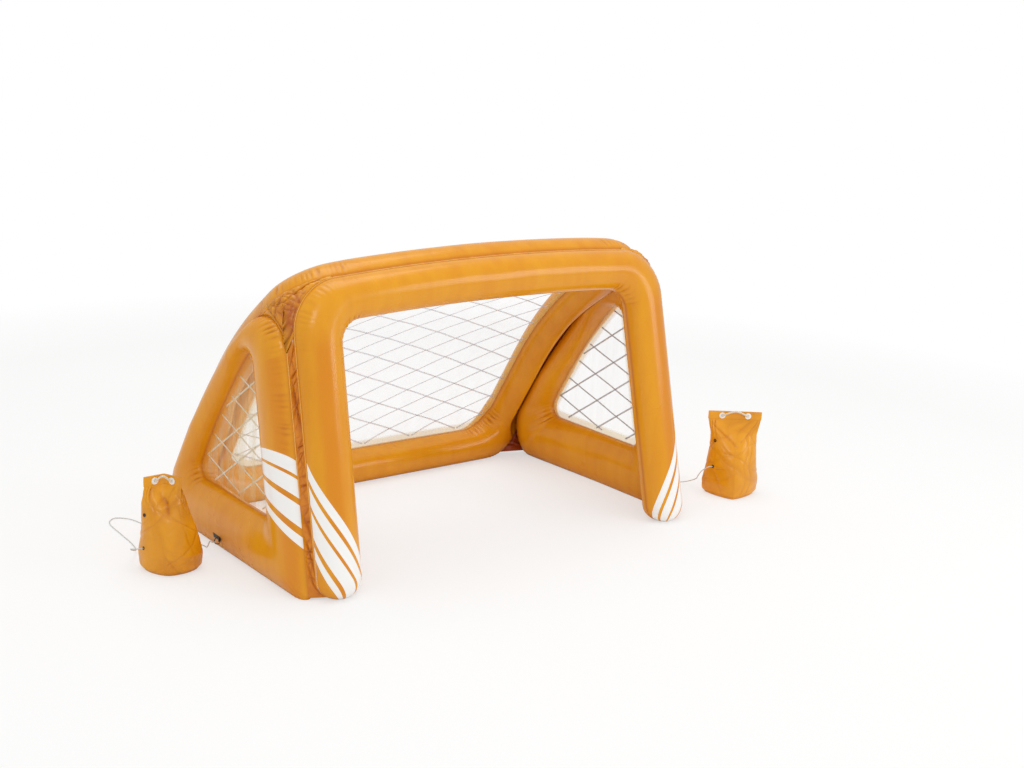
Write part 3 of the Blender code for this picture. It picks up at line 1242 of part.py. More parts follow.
def build_bag(side, place, turn, levels, fill, eyelet_heights, parent, pivot):
    """A bag: skin with a header, hem, ballast, eyelets and handle cord. Returns its cord eyelet's frame."""
    seat = Matrix.Translation(-Vector(pivot)) @ bag_matrix(place, turn)
    name = side + "_bag"
    rings = [bag_ring(level) for level in levels]
    skin = add_object(name + "_skin", loft(name + "_skin", rings, first_cap=True), "bag_vinyl", parent, seat)
    solidify(skin, BAG_SKIN_THICKNESS, -1)
    shrink = BAG_SKIN_THICKNESS + BAG_BALLAST_CLEARANCE
    lowest = levels[1][0] / 2
    between = [level[0] for level in levels if levels[0][0] < level[0] < fill]
    ballast_rings = [bag_ring(bag_level(levels, height), shrink) for height in (lowest, *between, fill)]
    base = bag_ring(levels[0], shrink * 2)
    base[:, 2] = BAG_SKIN_THICKNESS + BALLAST_LIFT
    ballast = loft(name + "_ballast", [base, *ballast_rings], first_cap=True, last_cap=True)
    add_object(name + "_ballast", ballast, "water", parent, seat)
    hem_rings = []
    for level in levels[-2:]:
        height, width, depth, *shape = level
        hem_rings.append(bag_ring((height, width + 2 * BAG_CLEARANCE, depth + 2 * BAG_CLEARANCE, *shape)))
    hem_rings[0][:, 2] += BAG_HEM_INSET
    hem_rings[1][:, 2] -= BAG_CLEARANCE
    hem = add_object(name + "_hem", loft(name + "_hem", hem_rings), "bag_vinyl", parent, seat)
    solidify(hem, BAG_HEM_THICKNESS, 1)
    reach = levels[-2][2] / 2 + 2 * BAG_CLEARANCE + BAG_HEM_THICKNESS + EYELET_FLANGE_THICKNESS
    inner_reach = reach - EYELET_FLANGE_THICKNESS
    profile = [
        (EYELET_BORE_RADIUS, reach), (EYELET_FLANGE_RADIUS, reach), (EYELET_FLANGE_RADIUS, inner_reach),
        (EYELET_COLLAR_RADIUS, inner_reach), (EYELET_COLLAR_RADIUS, -inner_reach),
        (EYELET_FLANGE_RADIUS, -inner_reach), (EYELET_FLANGE_RADIUS, -reach), (EYELET_BORE_RADIUS, -reach),
    ]
    ends = []
    for half, way in (("left", -1.0), ("right", 1.0)):
        frame = seat @ header_frame(levels, way)
        eyelet_name = f"{name}_{half}_eyelet"
        flange = outline_mesh(eyelet_name, profile, True)
        add_screw(add_object(eyelet_name, flange, "white_plastic", parent, frame), EYELET_STEPS)
        hole = cylinder(eyelet_name + "_hole", EYELET_HOLE_RADIUS, EYELET_CUT_DEPTH, EYELET_STEPS)
        tool = add_cutter(eyelet_name + "_hole", hole, parent, frame)
        boolean(skin, tool, "DIFFERENCE")
        boolean(hem, tool, "DIFFERENCE")
        ends.append(frame)
    left, right = ends
    tail, front = Vector((0, 0, -HANDLE_CORD_TAIL)), Vector((0, 0, reach + HANDLE_CORD_RADIUS))
    middle = (left.translation + right.translation) / 2
    out = (left.to_3x3() @ Vector((0, 0, 1)) + right.to_3x3() @ Vector((0, 0, 1))).normalized()
    rise = middle + out * HANDLE_CORD_FRONT + Vector((0, 0, HANDLE_CORD_RISE))
    bore = Vector((0, 0, -HANDLE_CORD_ENTRY))
    stops = [left @ tail, left @ bore, left @ front, rise, right @ front, right @ bore, right @ tail]
    path = smooth_path([tuple(stop) for stop in stops], HANDLE_CORD_POINTS)
    wire(name + "_handle_cord", path, HANDLE_CORD_RADIUS, "white_cord", parent)
    eyelet_frames = []
    profile = [
        (SIDE_EYELET_BORE_RADIUS, SIDE_EYELET_THICKNESS), (SIDE_EYELET_RADIUS, SIDE_EYELET_THICKNESS),
        (SIDE_EYELET_RADIUS, 0), (SIDE_EYELET_BORE_RADIUS, 0),
    ]
    for label, height in zip(("lower", "upper"), eyelet_heights):
        below = bag_ring(bag_level(levels, height - SIDE_EYELET_RADIUS))
        above = bag_ring(bag_level(levels, height + SIDE_EYELET_RADIUS))
        k = SIDE_EYELET_OUTLINE_STEPS
        centre = (below[k] + below[k + 1] + above[k] + above[k + 1]) / 4
        normal = unit(np.cross(below[k + 1] - below[k], above[k] - below[k]))
        frame = seat @ frame_matrix(centre + normal * SIDE_EYELET_STAND_OFF, normal, (0, 0, 1))
        eyelet_name = f"{name}_{label}_side_eyelet"
        flange = outline_mesh(eyelet_name, profile, True)
        add_screw(add_object(eyelet_name, flange, "dark_metal", parent, frame), SIDE_EYELET_STEPS)
        eyelet_frames.append(frame)
    return eyelet_frames[0]


def build_tether(side, way, place, turn, levels, fill, eyelet_heights, route, count):
    """A tether: the tab, and the swinging ring, cord and bag."""
    flip = np.array((way, 1.0, 1.0))
    build_tether_tab(side, flip)
    pivot = PIVOT * flip
    hinge = add_empty(side + "_tether_hinge", FRAME, tuple(pivot))
    outward = np.array((way, 0.0, 0.0))
    ring = ring_path()
    ring[:, 0] *= way
    wire(side + "_tether_ring", ring, RING_WIRE_RADIUS, "black_plastic", hinge, cyclic=True)
    eyelet = build_bag(side, place, turn, levels, fill, eyelet_heights, hinge, pivot)
    hook = hook_path(outward * (RING_OFFSET + RING_RADIUS), outward, 1.0)
    normal = np.array(eyelet.to_3x3() @ Vector((0, 0, 1)))
    end = np.array(eyelet.translation) + normal * (CORD_END_GAP - SIDE_EYELET_STAND_OFF)
    before = np.array(eyelet.translation) + normal * CORD_END_STRAIGHT
    stops = [np.array(stop) - pivot for stop in route]
    run = smooth_path([hook[-1], *stops, before, end], count)
    path = np.concatenate([hook, run[1:]])
    wire(side + "_tether_cord", path, CORD_RADIUS, "white_cord", hinge)


def centre_on_origin():
    """Moves the goal so that the middle of its box, without the cords, is over the origin."""
    bpy.context.view_layer.update()
    graph = bpy.context.evaluated_depsgraph_get()
    points = []
    for obj in GOAL.objects:
        if obj.type == "MESH" or obj.name.endswith("_ring"):
            solid = obj.evaluated_get(graph)
            points += [solid.matrix_world @ vert.co for vert in solid.to_mesh().vertices]
            solid.to_mesh_clear()
    low = [min(point[k] for point in points) for k in range(2)]
    high = [max(point[k] for point in points) for k in range(2)]
    FRAME.location = (-(low[0] + high[0]) / 2, -(low[1] + high[1]) / 2, 0.0)


build_chambers()
build_webs()
build_windows()
build_tether("left", -1.0, LEFT_BAG_PLACE, LEFT_BAG_TURN, LEFT_BAG_LEVELS, LEFT_BAG_FILL,
             LEFT_SIDE_EYELET_HEIGHTS, LEFT_CORD_ROUTE, LEFT_CORD_POINTS)
build_tether("right", 1.0, RIGHT_BAG_PLACE, RIGHT_BAG_TURN, RIGHT_BAG_LEVELS, RIGHT_BAG_FILL,
             RIGHT_SIDE_EYELET_HEIGHTS, RIGHT_CORD_ROUTE, RIGHT_CORD_POINTS)
centre_on_origin()
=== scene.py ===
"""Inflatable soccer goal with two ballast bags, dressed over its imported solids.

Metres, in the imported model's frame: +X is to the right of someone who looks into the goal mouth, +Y is to
the back and +Z is up. The goal's own frame lies ORIGIN away from it, and the shapes are worked out there.

Each inflated chamber is one surface: an oval carried round between an outer and an inner weld line,
pulled into puckers where the weld lines bend, and pressed flat where chambers or the floor touch it.
"""
import logging
import math
from collections.abc import Callable
from dataclasses import dataclass, field
from enum import Enum

import bpy
import numpy as np
from mathutils import Matrix
from numpy.typing import NDArray

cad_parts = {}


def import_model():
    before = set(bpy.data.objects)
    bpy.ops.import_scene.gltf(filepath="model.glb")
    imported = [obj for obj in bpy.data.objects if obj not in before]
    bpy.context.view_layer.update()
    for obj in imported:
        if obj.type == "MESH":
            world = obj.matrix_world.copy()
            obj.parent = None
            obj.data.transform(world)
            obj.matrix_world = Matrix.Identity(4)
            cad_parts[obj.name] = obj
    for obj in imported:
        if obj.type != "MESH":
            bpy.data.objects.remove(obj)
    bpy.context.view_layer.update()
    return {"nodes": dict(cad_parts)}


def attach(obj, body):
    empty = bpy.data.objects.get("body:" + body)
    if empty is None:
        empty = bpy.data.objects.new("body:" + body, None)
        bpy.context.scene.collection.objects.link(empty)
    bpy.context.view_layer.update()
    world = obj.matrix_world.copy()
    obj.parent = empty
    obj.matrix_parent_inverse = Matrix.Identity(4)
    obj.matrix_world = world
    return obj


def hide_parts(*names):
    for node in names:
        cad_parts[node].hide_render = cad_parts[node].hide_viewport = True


Array = NDArray[np.float64]
Colour = tuple[float, float, float]
Place = Callable[[Array, Array], Array]
Seam = Callable[[Array], tuple[Array, Array]]
PointPair = tuple[Array | tuple[float, float], Array | tuple[float, float]]

LOG = logging.getLogger("goal")
ORIGIN = np.array((-0.04115, -0.00454, 0.0))
MIDDLE = np.array((0.0, 0.0, 0.35))
UPRIGHT = np.array((0.0, 0.0, 1.0))

# Points of a smooth path between two stops
CUBIC_STEPS = 24
# Slow sines of a distance: share, waves, factor of the seed
WOBBLE_WAVES = ((0.33, 41.0, 1.0), (0.21, 97.0, 2.1))
# Slow sines on a sheet: share, waves one way and the other way, factor of the seed
SWELL_WAVES = ((0.5, 9.0, 2.0, 1.0), (0.3, 17.0, -3.0, 2.3), (0.2, 31.0, 5.0, 4.1))
# Depth of valleys: its mean, how much it varies, and over which waves
VALLEY_DEPTH, VALLEY_VARIES, VALLEY_WAVES = 0.65, 0.35, 67.0
# Sets of folds in a crumpled sheet: slant and share of the depth
CRUMPLE_SLANTS = ((0.2, 1.0), (1.25, 0.8), (2.2, 0.9), (0.75, 0.5))
# How far those folds bend and over which waves, and how sharp they are
CRUMPLE_BEND, CRUMPLE_BEND_WAVES, CRUMPLE_SHARPNESS = 0.004, 70, 0.7
# What each further set adds to the seed, and to the pitch as a share
CRUMPLE_SEED_STEP, CRUMPLE_PITCH_STEP = 1.7, 0.3
# A tube that starts steeper than this has its first cross direction from the X axis
STEEP = 0.9
# Less than this is no distance
NEAR = 1e-6
# Points round a chamber's section, and their angles from the outer weld
AROUND = 64
ANGLES = np.arange(AROUND) * 2 * math.pi / AROUND
# Points on a chamber's large corners, on its feet and on window corners
CORNER_STEPS = 32
FOOT_STEPS = 18
WINDOW_CORNER_STEPS = 20
# Least pucker of any weld, and how steeply the puckers fade at a stretch's ends
LEAST_PUCKER = 0.06
PUCKER_FADE = 0.7
# Angle from the weld at which print can start
PRINT_START = 0.02


class Side(Enum):
    """The two sides of the goal, with the sign of their X."""

    LEFT = -1.0
    RIGHT = 1.0

    @property
    def word(self) -> str:
        """The side's name in piece names."""
        return self.name.lower()

    @property
    def flip(self) -> Array:
        """Turns points of the right side into points of this side."""
        return np.array((self.value, 1.0, 1.0))


class Body(Enum):
    """The rigid bodies that pieces ride on."""

    GOAL = "goal"
    LEFT_TETHER = "left_tether"
    RIGHT_TETHER = "right_tether"


class Slot(Enum):
    """Material slots of the part."""

    VINYL = "vinyl"
    WEB = "web_vinyl"
    FILM = "clear_film"
    NET = "net_print"
    BAG = "bag_vinyl"
    CORD = "white_cord"
    WATER = "water"


# Plane and path geometry

def unit(vector: Array) -> Array:
    """The vector or vectors at length one."""
    vector = np.asarray(vector, float)
    return vector / np.linalg.norm(vector, axis=-1, keepdims=True)


def lengths_along(path: Array) -> Array:
    """Distance from the first point of a path to each of its points."""
    return np.concatenate([[0.0], np.cumsum(np.linalg.norm(np.diff(path, axis=0), axis=1))])


def points_at(path: Array, shares: Array) -> Array:
    """Points of a path at given shares of its length.

    Args:
        path: Points of the path, one row each.
        shares: Shares from 0 at its start to 1 at its end.

    Returns:
        One row for each share.
    """
    path = np.asarray(path, float)
    along = lengths_along(path)
    return np.stack([np.interp(np.asarray(shares) * along[-1], along, column) for column in path.T], -1)


def arc_at_corner(before: Array, corner: Array, after: Array, radius: float, steps: int) -> Array:
    """The arc that rounds a corner of a flat outline.

    Its centre lies on the corner's bisector, where a circle of the radius touches both sides, and the
    spoke to the first tangent point is turned in equal steps.

    Args:
        before: The outline's corner before.
        corner: The corner to round.
        after: The outline's corner after.
        radius: Radius of the arc.
        steps: Number of steps on the arc.

    Returns:
        The arc's points from its first tangent point to its last.
    """
    before, corner, after = (np.asarray(point, float) for point in (before, corner, after))
    to_before, to_after = unit(before - corner), unit(after - corner)
    half = math.acos(float(np.clip(to_before @ to_after, -1, 1))) / 2
    centre = corner + unit(to_before + to_after) * radius / math.sin(half)
    spoke = corner + to_before * radius / math.tan(half) - centre
    sign = 1 if to_before[0] * to_after[1] - to_before[1] * to_after[0] < 0 else -1
    angles = sign * np.linspace(0, math.pi - 2 * half, steps + 1)
    cos, sin = np.cos(angles), np.sin(angles)
    return centre + np.stack([cos * spoke[0] - sin * spoke[1], sin * spoke[0] + cos * spoke[1]], 1)


def line_meet(point_a: Array, along_a: Array, point_b: Array, along_b: Array) -> Array:
    """Where two flat lines cross."""
    sides = np.stack([np.asarray(along_a, float), -np.asarray(along_b, float)], 1)
    step = np.linalg.solve(sides, np.asarray(point_b, float) - np.asarray(point_a, float))[0]
    return np.asarray(point_a) + step * np.asarray(along_a)


def smooth_path(stops: Array, count: int) -> Array:
    """A smooth path through stops: cubic pieces whose slopes at a stop lie along its two neighbours.

    Args:
        stops: Points that the path goes through.
        count: Number of points wanted.

    Returns:
        Evenly spaced points.
    """
    stops = np.asarray(stops, float)
    padded = np.concatenate([[2 * stops[0] - stops[1]], stops, [2 * stops[-1] - stops[-2]]])
    steps = np.linspace(0, 1, CUBIC_STEPS, endpoint=False)[:, None]
    parts = []
    for a, b, c, d in zip(padded, padded[1:], padded[2:], padded[3:]):
        gap = np.linalg.norm(c - b)
        slope_b = (c - a) * gap / (np.linalg.norm(b - a) + gap)
        slope_c = (d - b) * gap / (np.linalg.norm(d - c) + gap)
        cubic = 2 * (b - c) + slope_b + slope_c
        square = 3 * (c - b) - 2 * slope_b - slope_c
        parts.append(b + steps * slope_b + steps ** 2 * square + steps ** 3 * cubic)
    return points_at(np.concatenate(parts + [stops[-1:]]), np.linspace(0, 1, count))


def part_above(path: Array, height: float) -> Array:
    """The part of a falling path that lies above a height."""
    place = int(np.argmax(path[:, 2] < height))
    if place == 0:
        return path
    high, low = path[place - 1], path[place]
    share = (high[2] - height) / (high[2] - low[2])
    return np.concatenate([path[:place], [high + share * (low - high)]])


# Folds and unevenness

def wobble(along: Array, seed: float) -> Array:
    """An uneven phase: two slow sines of the distance along."""
    return sum(share * np.sin(along * waves + lag * seed) for share, waves, lag in WOBBLE_WAVES)


def valleys(along: Array, pitch: float, seed: float, sharpness: float = 0.6) -> Array:
    """Sharp valleys at an uneven pitch.

    One minus a root of the absolute sine, so each valley is a cusp and the ground between is rounded.

    Args:
        along: Distance across the valleys.
        pitch: Mean distance between valleys.
        seed: Makes one set of valleys differ from another.
        sharpness: Power of the sine. Lower is narrower.

    Returns:
        Depth from 0 to 1.
    """
    phase = along / pitch + wobble(along, seed)
    depth = VALLEY_DEPTH + VALLEY_VARIES * np.sin(along * VALLEY_WAVES + 3.0 * seed)
    return depth * (1.0 - np.abs(np.sin(math.pi * phase)) ** sharpness)


def crumple(a: Array, b: Array, pitch: float, seed: float) -> Array:
    """Crumpled sheet: the deepest of four sets of sharp valleys that run at different slants.

    Args:
        a: Distance one way on the sheet.
        b: Distance the other way.
        pitch: Mean distance between folds.
        seed: Makes one sheet differ from another.

    Returns:
        Depth from 0 to 1.
    """
    sets = []
    for number, (slant, share) in enumerate(CRUMPLE_SLANTS):
        across = a * math.cos(slant + seed) + b * math.sin(slant + seed)
        run = (b * math.cos(slant) - a * math.sin(slant)) * CRUMPLE_BEND_WAVES
        bend = CRUMPLE_BEND * np.sin(run + seed + number)
        wider, other_seed = pitch * (1 + CRUMPLE_PITCH_STEP * number), seed + CRUMPLE_SEED_STEP * number
        sets.append(share * valleys(across + bend, wider, other_seed, CRUMPLE_SHARPNESS))
    return np.maximum.reduce(sets)


def swell(a: Array, b: Array, seed: float) -> Array:
    """Slow unevenness from about -1 to 1: three sines at different slants."""
    return sum(share * np.sin(a * one + b * other + lag * seed) for share, one, other, lag in SWELL_WAVES)


def near_weld(angle: Array, peak: float) -> Array:
    """Weight of the puckers at an angle from the weld: none on it, most at the peak, gone far from it."""
    ratio = (angle / peak) ** 2
    return ratio * np.exp(1.0 - ratio)


def eased(share: Array) -> Array:
    """A share clamped to 0 and 1, with a soft start and end."""
    share = np.clip(share, 0, 1)
    return share ** 2 * (3 - 2 * share)


def segment_distance(flat: Array, start: Array, end: Array) -> Array:
    """Distance of flat points from a segment."""
    run = np.asarray(end, float) - np.asarray(start, float)
    offset = flat - np.asarray(start, float)
    share = np.clip(offset @ run / (run @ run), 0, 1)
    return np.linalg.norm(offset - share[..., None] * run, axis=-1)


# Meshes from grids of points

def grid_faces(rows: int, columns: int, wrap_rows: bool, wrap_columns: bool) -> NDArray[np.int64]:
    """Four corners of each cell of a grid whose points are numbered row by row."""
    row = np.arange(rows if wrap_rows else rows - 1)[:, None]
    column = np.arange(columns if wrap_columns else columns - 1)[None, :]
    next_row, next_column = (row + 1) % rows, (column + 1) % columns
    corners = [row * columns + column, row * columns + next_column,
               next_row * columns + next_column, next_row * columns + column]
    return np.stack(corners, -1).reshape(-1, 4)


def signed_volume(points: Array, faces: NDArray[np.int64]) -> float:
    """Volume inside a closed grid, negative where its faces point inwards."""
    a, b, c, d = (points[faces[:, k]] for k in range(4))
    return float(np.sum(np.cross(a, b) * c) + np.sum(np.cross(a, c) * d)) / 6


@dataclass
class Sheet:
    """A surface on a grid, and the values that its finish reads at each point.

    Attributes:
        points: Rows by columns by three.
        values: Named values, rows by columns.
        wrap_rows: Whether the last row joins the first.
        wrap_columns: Whether the last column joins the first.
        first_pole: Whether the first row is closed by a middle point.
        last_pole: Whether the last row is closed by a middle point.
        last_fold: Whether the last row is closed flat, each point joined to the one opposite.
        turned: Whether an open sheet's faces are turned round.
    """

    points: Array
    values: dict[str, Array] = field(default_factory=dict)
    wrap_rows: bool = False
    wrap_columns: bool = False
    first_pole: bool = False
    last_pole: bool = False
    last_fold: bool = False
    turned: bool = False

    def arrays(self) -> tuple[Array, list[list[int]], dict[str, Array]]:
        """Points, faces and values as flat lists, with the poles closed and the faces outwards.

        Returns:
            Points, faces of three or four corners, and values at the points.
        """
        rows, columns = self.points.shape[:2]
        points = self.points.reshape(-1, 3)
        quads = grid_faces(rows, columns, self.wrap_rows, self.wrap_columns)
        values = {name: value.reshape(-1) for name, value in self.values.items()}
        ends = self.first_pole and (self.last_pole or self.last_fold)
        closed = self.wrap_columns and (self.wrap_rows or ends)
        turned = signed_volume(points, quads) < 0 if closed else self.turned
        faces = (quads[:, ::-1] if turned else quads).tolist()
        for wanted, row, way in ((self.first_pole, 0, -1), (self.last_pole, rows - 1, 1)):
            if not wanted:
                continue
            ring = row * columns + np.arange(columns)
            pole = np.full(columns, len(points))
            fan = np.stack([ring, np.roll(ring, -1), pole], -1)
            faces += (fan[:, ::-1] if (way < 0) != turned else fan).tolist()
            points = np.concatenate([points, self.points[row].mean(0)[None]])
            values = {name: np.append(value, self.values[name][row].mean()) for name, value in values.items()}
        if self.last_fold:
            ring = (rows - 1) * columns + np.arange(columns)
            one, other = ring[:columns // 2 + 1], np.roll(ring, -1)[::-1][:columns // 2 + 1]
            strip = np.stack([one[:-1], one[1:], other[1:], other[:-1]], -1)
            faces += [list(dict.fromkeys(face[::-1] if turned else face)) for face in strip.tolist()]
        return points, faces, values


def mesh_piece(name: str, sheets: list[Sheet]) -> bpy.types.Object:
    """One smooth piece made of one or more sheets.

    Args:
        name: The piece's name.
        sheets: Its surfaces. All have values of the same names.

    Returns:
        The piece, linked to the scene with its object at the origin.
    """
    all_points, all_faces, all_values = [], [], {}
    count = 0
    for sheet in sheets:
        points, faces, values = sheet.arrays()
        all_faces += [[corner + count for corner in face] for face in faces]
        all_points.append(points)
        for key, value in values.items():
            all_values.setdefault(key, []).append(value)
        count += len(points)
    mesh = bpy.data.meshes.new(name)
    mesh.from_pydata(np.concatenate(all_points).tolist(), [], all_faces)
    for key, parts in all_values.items():
        layer = mesh.attributes.new(key, "FLOAT", "POINT")
        layer.data.foreach_set("value", np.concatenate(parts).astype(np.float32))
    mesh.polygons.foreach_set("use_smooth", np.ones(len(mesh.polygons), bool))
    mesh.validate()
    mesh.update()
    piece = bpy.data.objects.new(name, mesh)
    bpy.context.scene.collection.objects.link(piece)
    return piece


def tube(path: Array, radius: Array | float, around: int, cyclic: bool = False) -> Sheet:
    """A round tube along a path. Its cross direction is carried along without twist.

    Args:
        path: Points of the centre line.
        radius: Radius, the same all along or one for each point.
        around: Number of points round the tube.
        cyclic: Whether the path closes on itself.

    Returns:
        A sheet with the values along (metres) and around (turns).
    """
    path = np.asarray(path, float)
    ahead = np.roll(path, -1, axis=0) - np.roll(path, 1, axis=0)
    if not cyclic:
        ahead[0], ahead[-1] = path[1] - path[0], path[-1] - path[-2]
    tangent = unit(ahead)
    steep = abs(tangent[0, 2]) >= STEEP
    crosses = [unit(np.cross(tangent[0], (1.0, 0.0, 0.0) if steep else UPRIGHT))]
    for way in tangent[1:]:
        crosses.append(unit(crosses[-1] - (crosses[-1] @ way) * way))
    cross = np.array(crosses)
    other = np.cross(tangent, cross)
    turns = np.arange(around) / around
    angle = 2 * math.pi * turns
    radii = np.broadcast_to(np.asarray(radius, float), (len(path),))[:, None, None]
    ring = np.cos(angle)[None, :, None] * cross[:, None] + np.sin(angle)[None, :, None] * other[:, None]
    along = np.repeat(lengths_along(path)[:, None], around, axis=1)
    values = {"along": along, "around": np.repeat(turns[None], len(path), axis=0)}
    return Sheet(path[:, None] + radii * ring, values, wrap_rows=cyclic, wrap_columns=True,
                 first_pole=not cyclic, last_pole=not cyclic)


# Finishes

class Recipe:
    """A material's node tree, written down in short calls."""

    def __init__(self, name: str) -> None:
        """Starts a material with one Principled shader.

        Args:
            name: The material's name.
        """
        self.material = bpy.data.materials.new(name)
        self.material.use_nodes = True
        self.tree = self.material.node_tree
        self.shader = self.tree.nodes["Principled BSDF"]
        self.place = self.tree.nodes.new("ShaderNodeTexCoord").outputs["Object"]

    def node(self, kind: str, **settings: object) -> bpy.types.Node:
        """Adds a node and sets its properties."""
        made = self.tree.nodes.new(kind)
        for key, value in settings.items():
            setattr(made, key, value)
        return made

    def link(self, source: object, target: bpy.types.NodeSocket) -> None:
        """Joins a socket, or sets a plain value."""
        if isinstance(source, bpy.types.NodeSocket):
            self.tree.links.new(source, target)
        else:
            target.default_value = source

    def attribute(self, name: str) -> bpy.types.NodeSocket:
        """A value that the piece carries at its points."""
        return self.node("ShaderNodeAttribute", attribute_name=name).outputs["Fac"]

    def stretched(self, scale: Colour, turn: Colour = (0.0, 0.0, 0.0)) -> bpy.types.NodeSocket:
        """Object coordinates, turned and scaled along each axis."""
        mapping = self.node("ShaderNodeMapping")
        mapping.inputs["Scale"].default_value = scale
        mapping.inputs["Rotation"].default_value = turn
        self.link(self.place, mapping.inputs["Vector"])
        return mapping.outputs["Vector"]

    def noise(self, vector: bpy.types.NodeSocket, scale: float, detail: float = 3.0,
              distortion: float = 0.0) -> bpy.types.NodeSocket:
        """Noise from 0 to 1."""
        made = self.node("ShaderNodeTexNoise")
        self.link(vector, made.inputs["Vector"])
        made.inputs["Scale"].default_value = scale
        made.inputs["Detail"].default_value = detail
        made.inputs["Distortion"].default_value = distortion
        return made.outputs["Fac"]

    def ranged(self, source: object, low: float, high: float, to_low: float,
               to_high: float) -> bpy.types.NodeSocket:
        """A value carried from one range to another and clamped there."""
        made = self.node("ShaderNodeMapRange")
        for key, value in (("Value", source), ("From Min", low), ("From Max", high),
                           ("To Min", to_low), ("To Max", to_high)):
            self.link(value, made.inputs[key])
        return made.outputs["Result"]

    def sum_of(self, operation: str, first: object, second: object) -> bpy.types.NodeSocket:
        """Two values joined by a math operation."""
        made = self.node("ShaderNodeMath", operation=operation)
        self.link(first, made.inputs[0])
        self.link(second, made.inputs[1])
        return made.outputs[0]

    def mixed(self, factor: object, first: object, second: object) -> bpy.types.NodeSocket:
        """Two colours mixed by a factor."""
        made = self.node("ShaderNodeMix", data_type="RGBA")
        self.link(factor, made.inputs["Factor"])
        # Inputs 6 and 7 and output 2 are the ones for colours
        for key, value in ((6, first), (7, second)):
            self.link((*value, 1.0) if isinstance(value, tuple) else value, made.inputs[key])
        return made.outputs[2]

    def bump(self, height: bpy.types.NodeSocket, distance: float, strength: float = 1.0,
             before: bpy.types.NodeSocket | None = None) -> bpy.types.NodeSocket:
        """A normal that follows a height in metres times the distance."""
        made = self.node("ShaderNodeBump")
        made.inputs["Strength"].default_value = strength
        made.inputs["Distance"].default_value = distance
        self.link(height, made.inputs["Height"])
        if before is not None:
            self.link(before, made.inputs["Normal"])
        return made.outputs["Normal"]

    def settle(self, **sockets: object) -> bpy.types.Material:
        """Joins or sets the shader's own sockets, named with underscores for spaces."""
        for key, value in sockets.items():
            self.link(value, self.shader.inputs[key.replace("_", " ")])
        return self.material


@dataclass(frozen=True)
class ChamberVinyl:
    """Glossy inflated vinyl with printed bands, and painted shade in broad bands and in creases.

    Attributes:
        name: Material name.
        colour: Body colour.
        shade: Colour of the painted shade in broad bands along the tubes, where they reflect less light.
        deep: Colour of the painted shade in the hollows, the creases and along the welds.
        print_colour: Colour of the printed bands.
        print_fold: Colour of the printed bands under the painted shade in the creases.
        bands: Lower and upper level of each printed band, in metres.
        roughness: Gloss of the skin.
    """

    name: str
    colour: Colour = (0.80, 0.325, 0.005)
    shade: Colour = (0.71, 0.230, 0.003)
    deep: Colour = (0.46, 0.095, 0.005)
    print_colour: Colour = (0.95, 0.945, 0.93)
    print_fold: Colour = (0.60, 0.52, 0.42)
    bands: tuple[tuple[float, float], ...] = ()
    roughness: float = 0.23

    def make(self) -> bpy.types.Material:
        """Builds the material."""
        recipe = Recipe(self.name)
        cloudy = recipe.noise(recipe.place, scale=3.5, detail=4.0, distortion=0.4)
        streaks = recipe.noise(recipe.stretched((26.0, 26.0, 1.6)), scale=1.0, detail=3.0)
        tone = recipe.sum_of("ADD", recipe.ranged(cloudy, 0.3, 0.7, 0.0, 0.5),
                             recipe.ranged(streaks, 0.35, 0.65, 0.0, 0.5))
        pale = tuple(min(1.0, channel * gain) for channel, gain in zip(self.colour, (1.03, 1.10, 1.5)))
        rich = tuple(channel * gain for channel, gain in zip(self.colour, (0.93, 0.86, 0.8)))
        plain = recipe.mixed(tone, rich, pale)
        # Painted shade: broad darker bands along the tubes, where they reflect less of the studio light
        body = recipe.mixed(recipe.attribute("shade"), plain, self.shade)
        # Painted shade in the creases and along the welds
        crease = recipe.attribute("crease")
        colour = recipe.mixed(recipe.ranged(crease, 0.0, 1.0, 0.0, 0.85), body, self.deep)
        if self.bands:
            level, front = recipe.attribute("print_level"), recipe.attribute("print_face")
            inside = 0.0
            for low, high in self.bands:
                band = recipe.sum_of("MULTIPLY", recipe.sum_of("GREATER_THAN", level, low),
                                     recipe.sum_of("LESS_THAN", level, high))
                inside = recipe.sum_of("ADD", inside, band)
            mask = recipe.sum_of("MULTIPLY", inside, recipe.sum_of("GREATER_THAN", front, 0.0))
            # Painted shade on the print in the creases
            folded = recipe.ranged(crease, 0.0, 1.0, 0.0, 0.5)
            colour = recipe.mixed(mask, colour, recipe.mixed(folded, self.print_colour, self.print_fold))
        fine = recipe.noise(recipe.place, scale=160.0, detail=3.0)
        slack = recipe.noise(recipe.place, scale=22.0, detail=2.0, distortion=0.3)
        grain = recipe.bump(fine, distance=0.00008, strength=0.30)
        normal = recipe.bump(slack, distance=0.0010, strength=0.35, before=grain)
        gloss = recipe.ranged(cloudy, 0.3, 0.7, self.roughness - 0.04, self.roughness + 0.06)
        return recipe.settle(Base_Color=colour, Roughness=gloss, Normal=normal, Specular_IOR_Level=0.36,
                             Coat_Weight=0.12, Coat_Roughness=0.10)


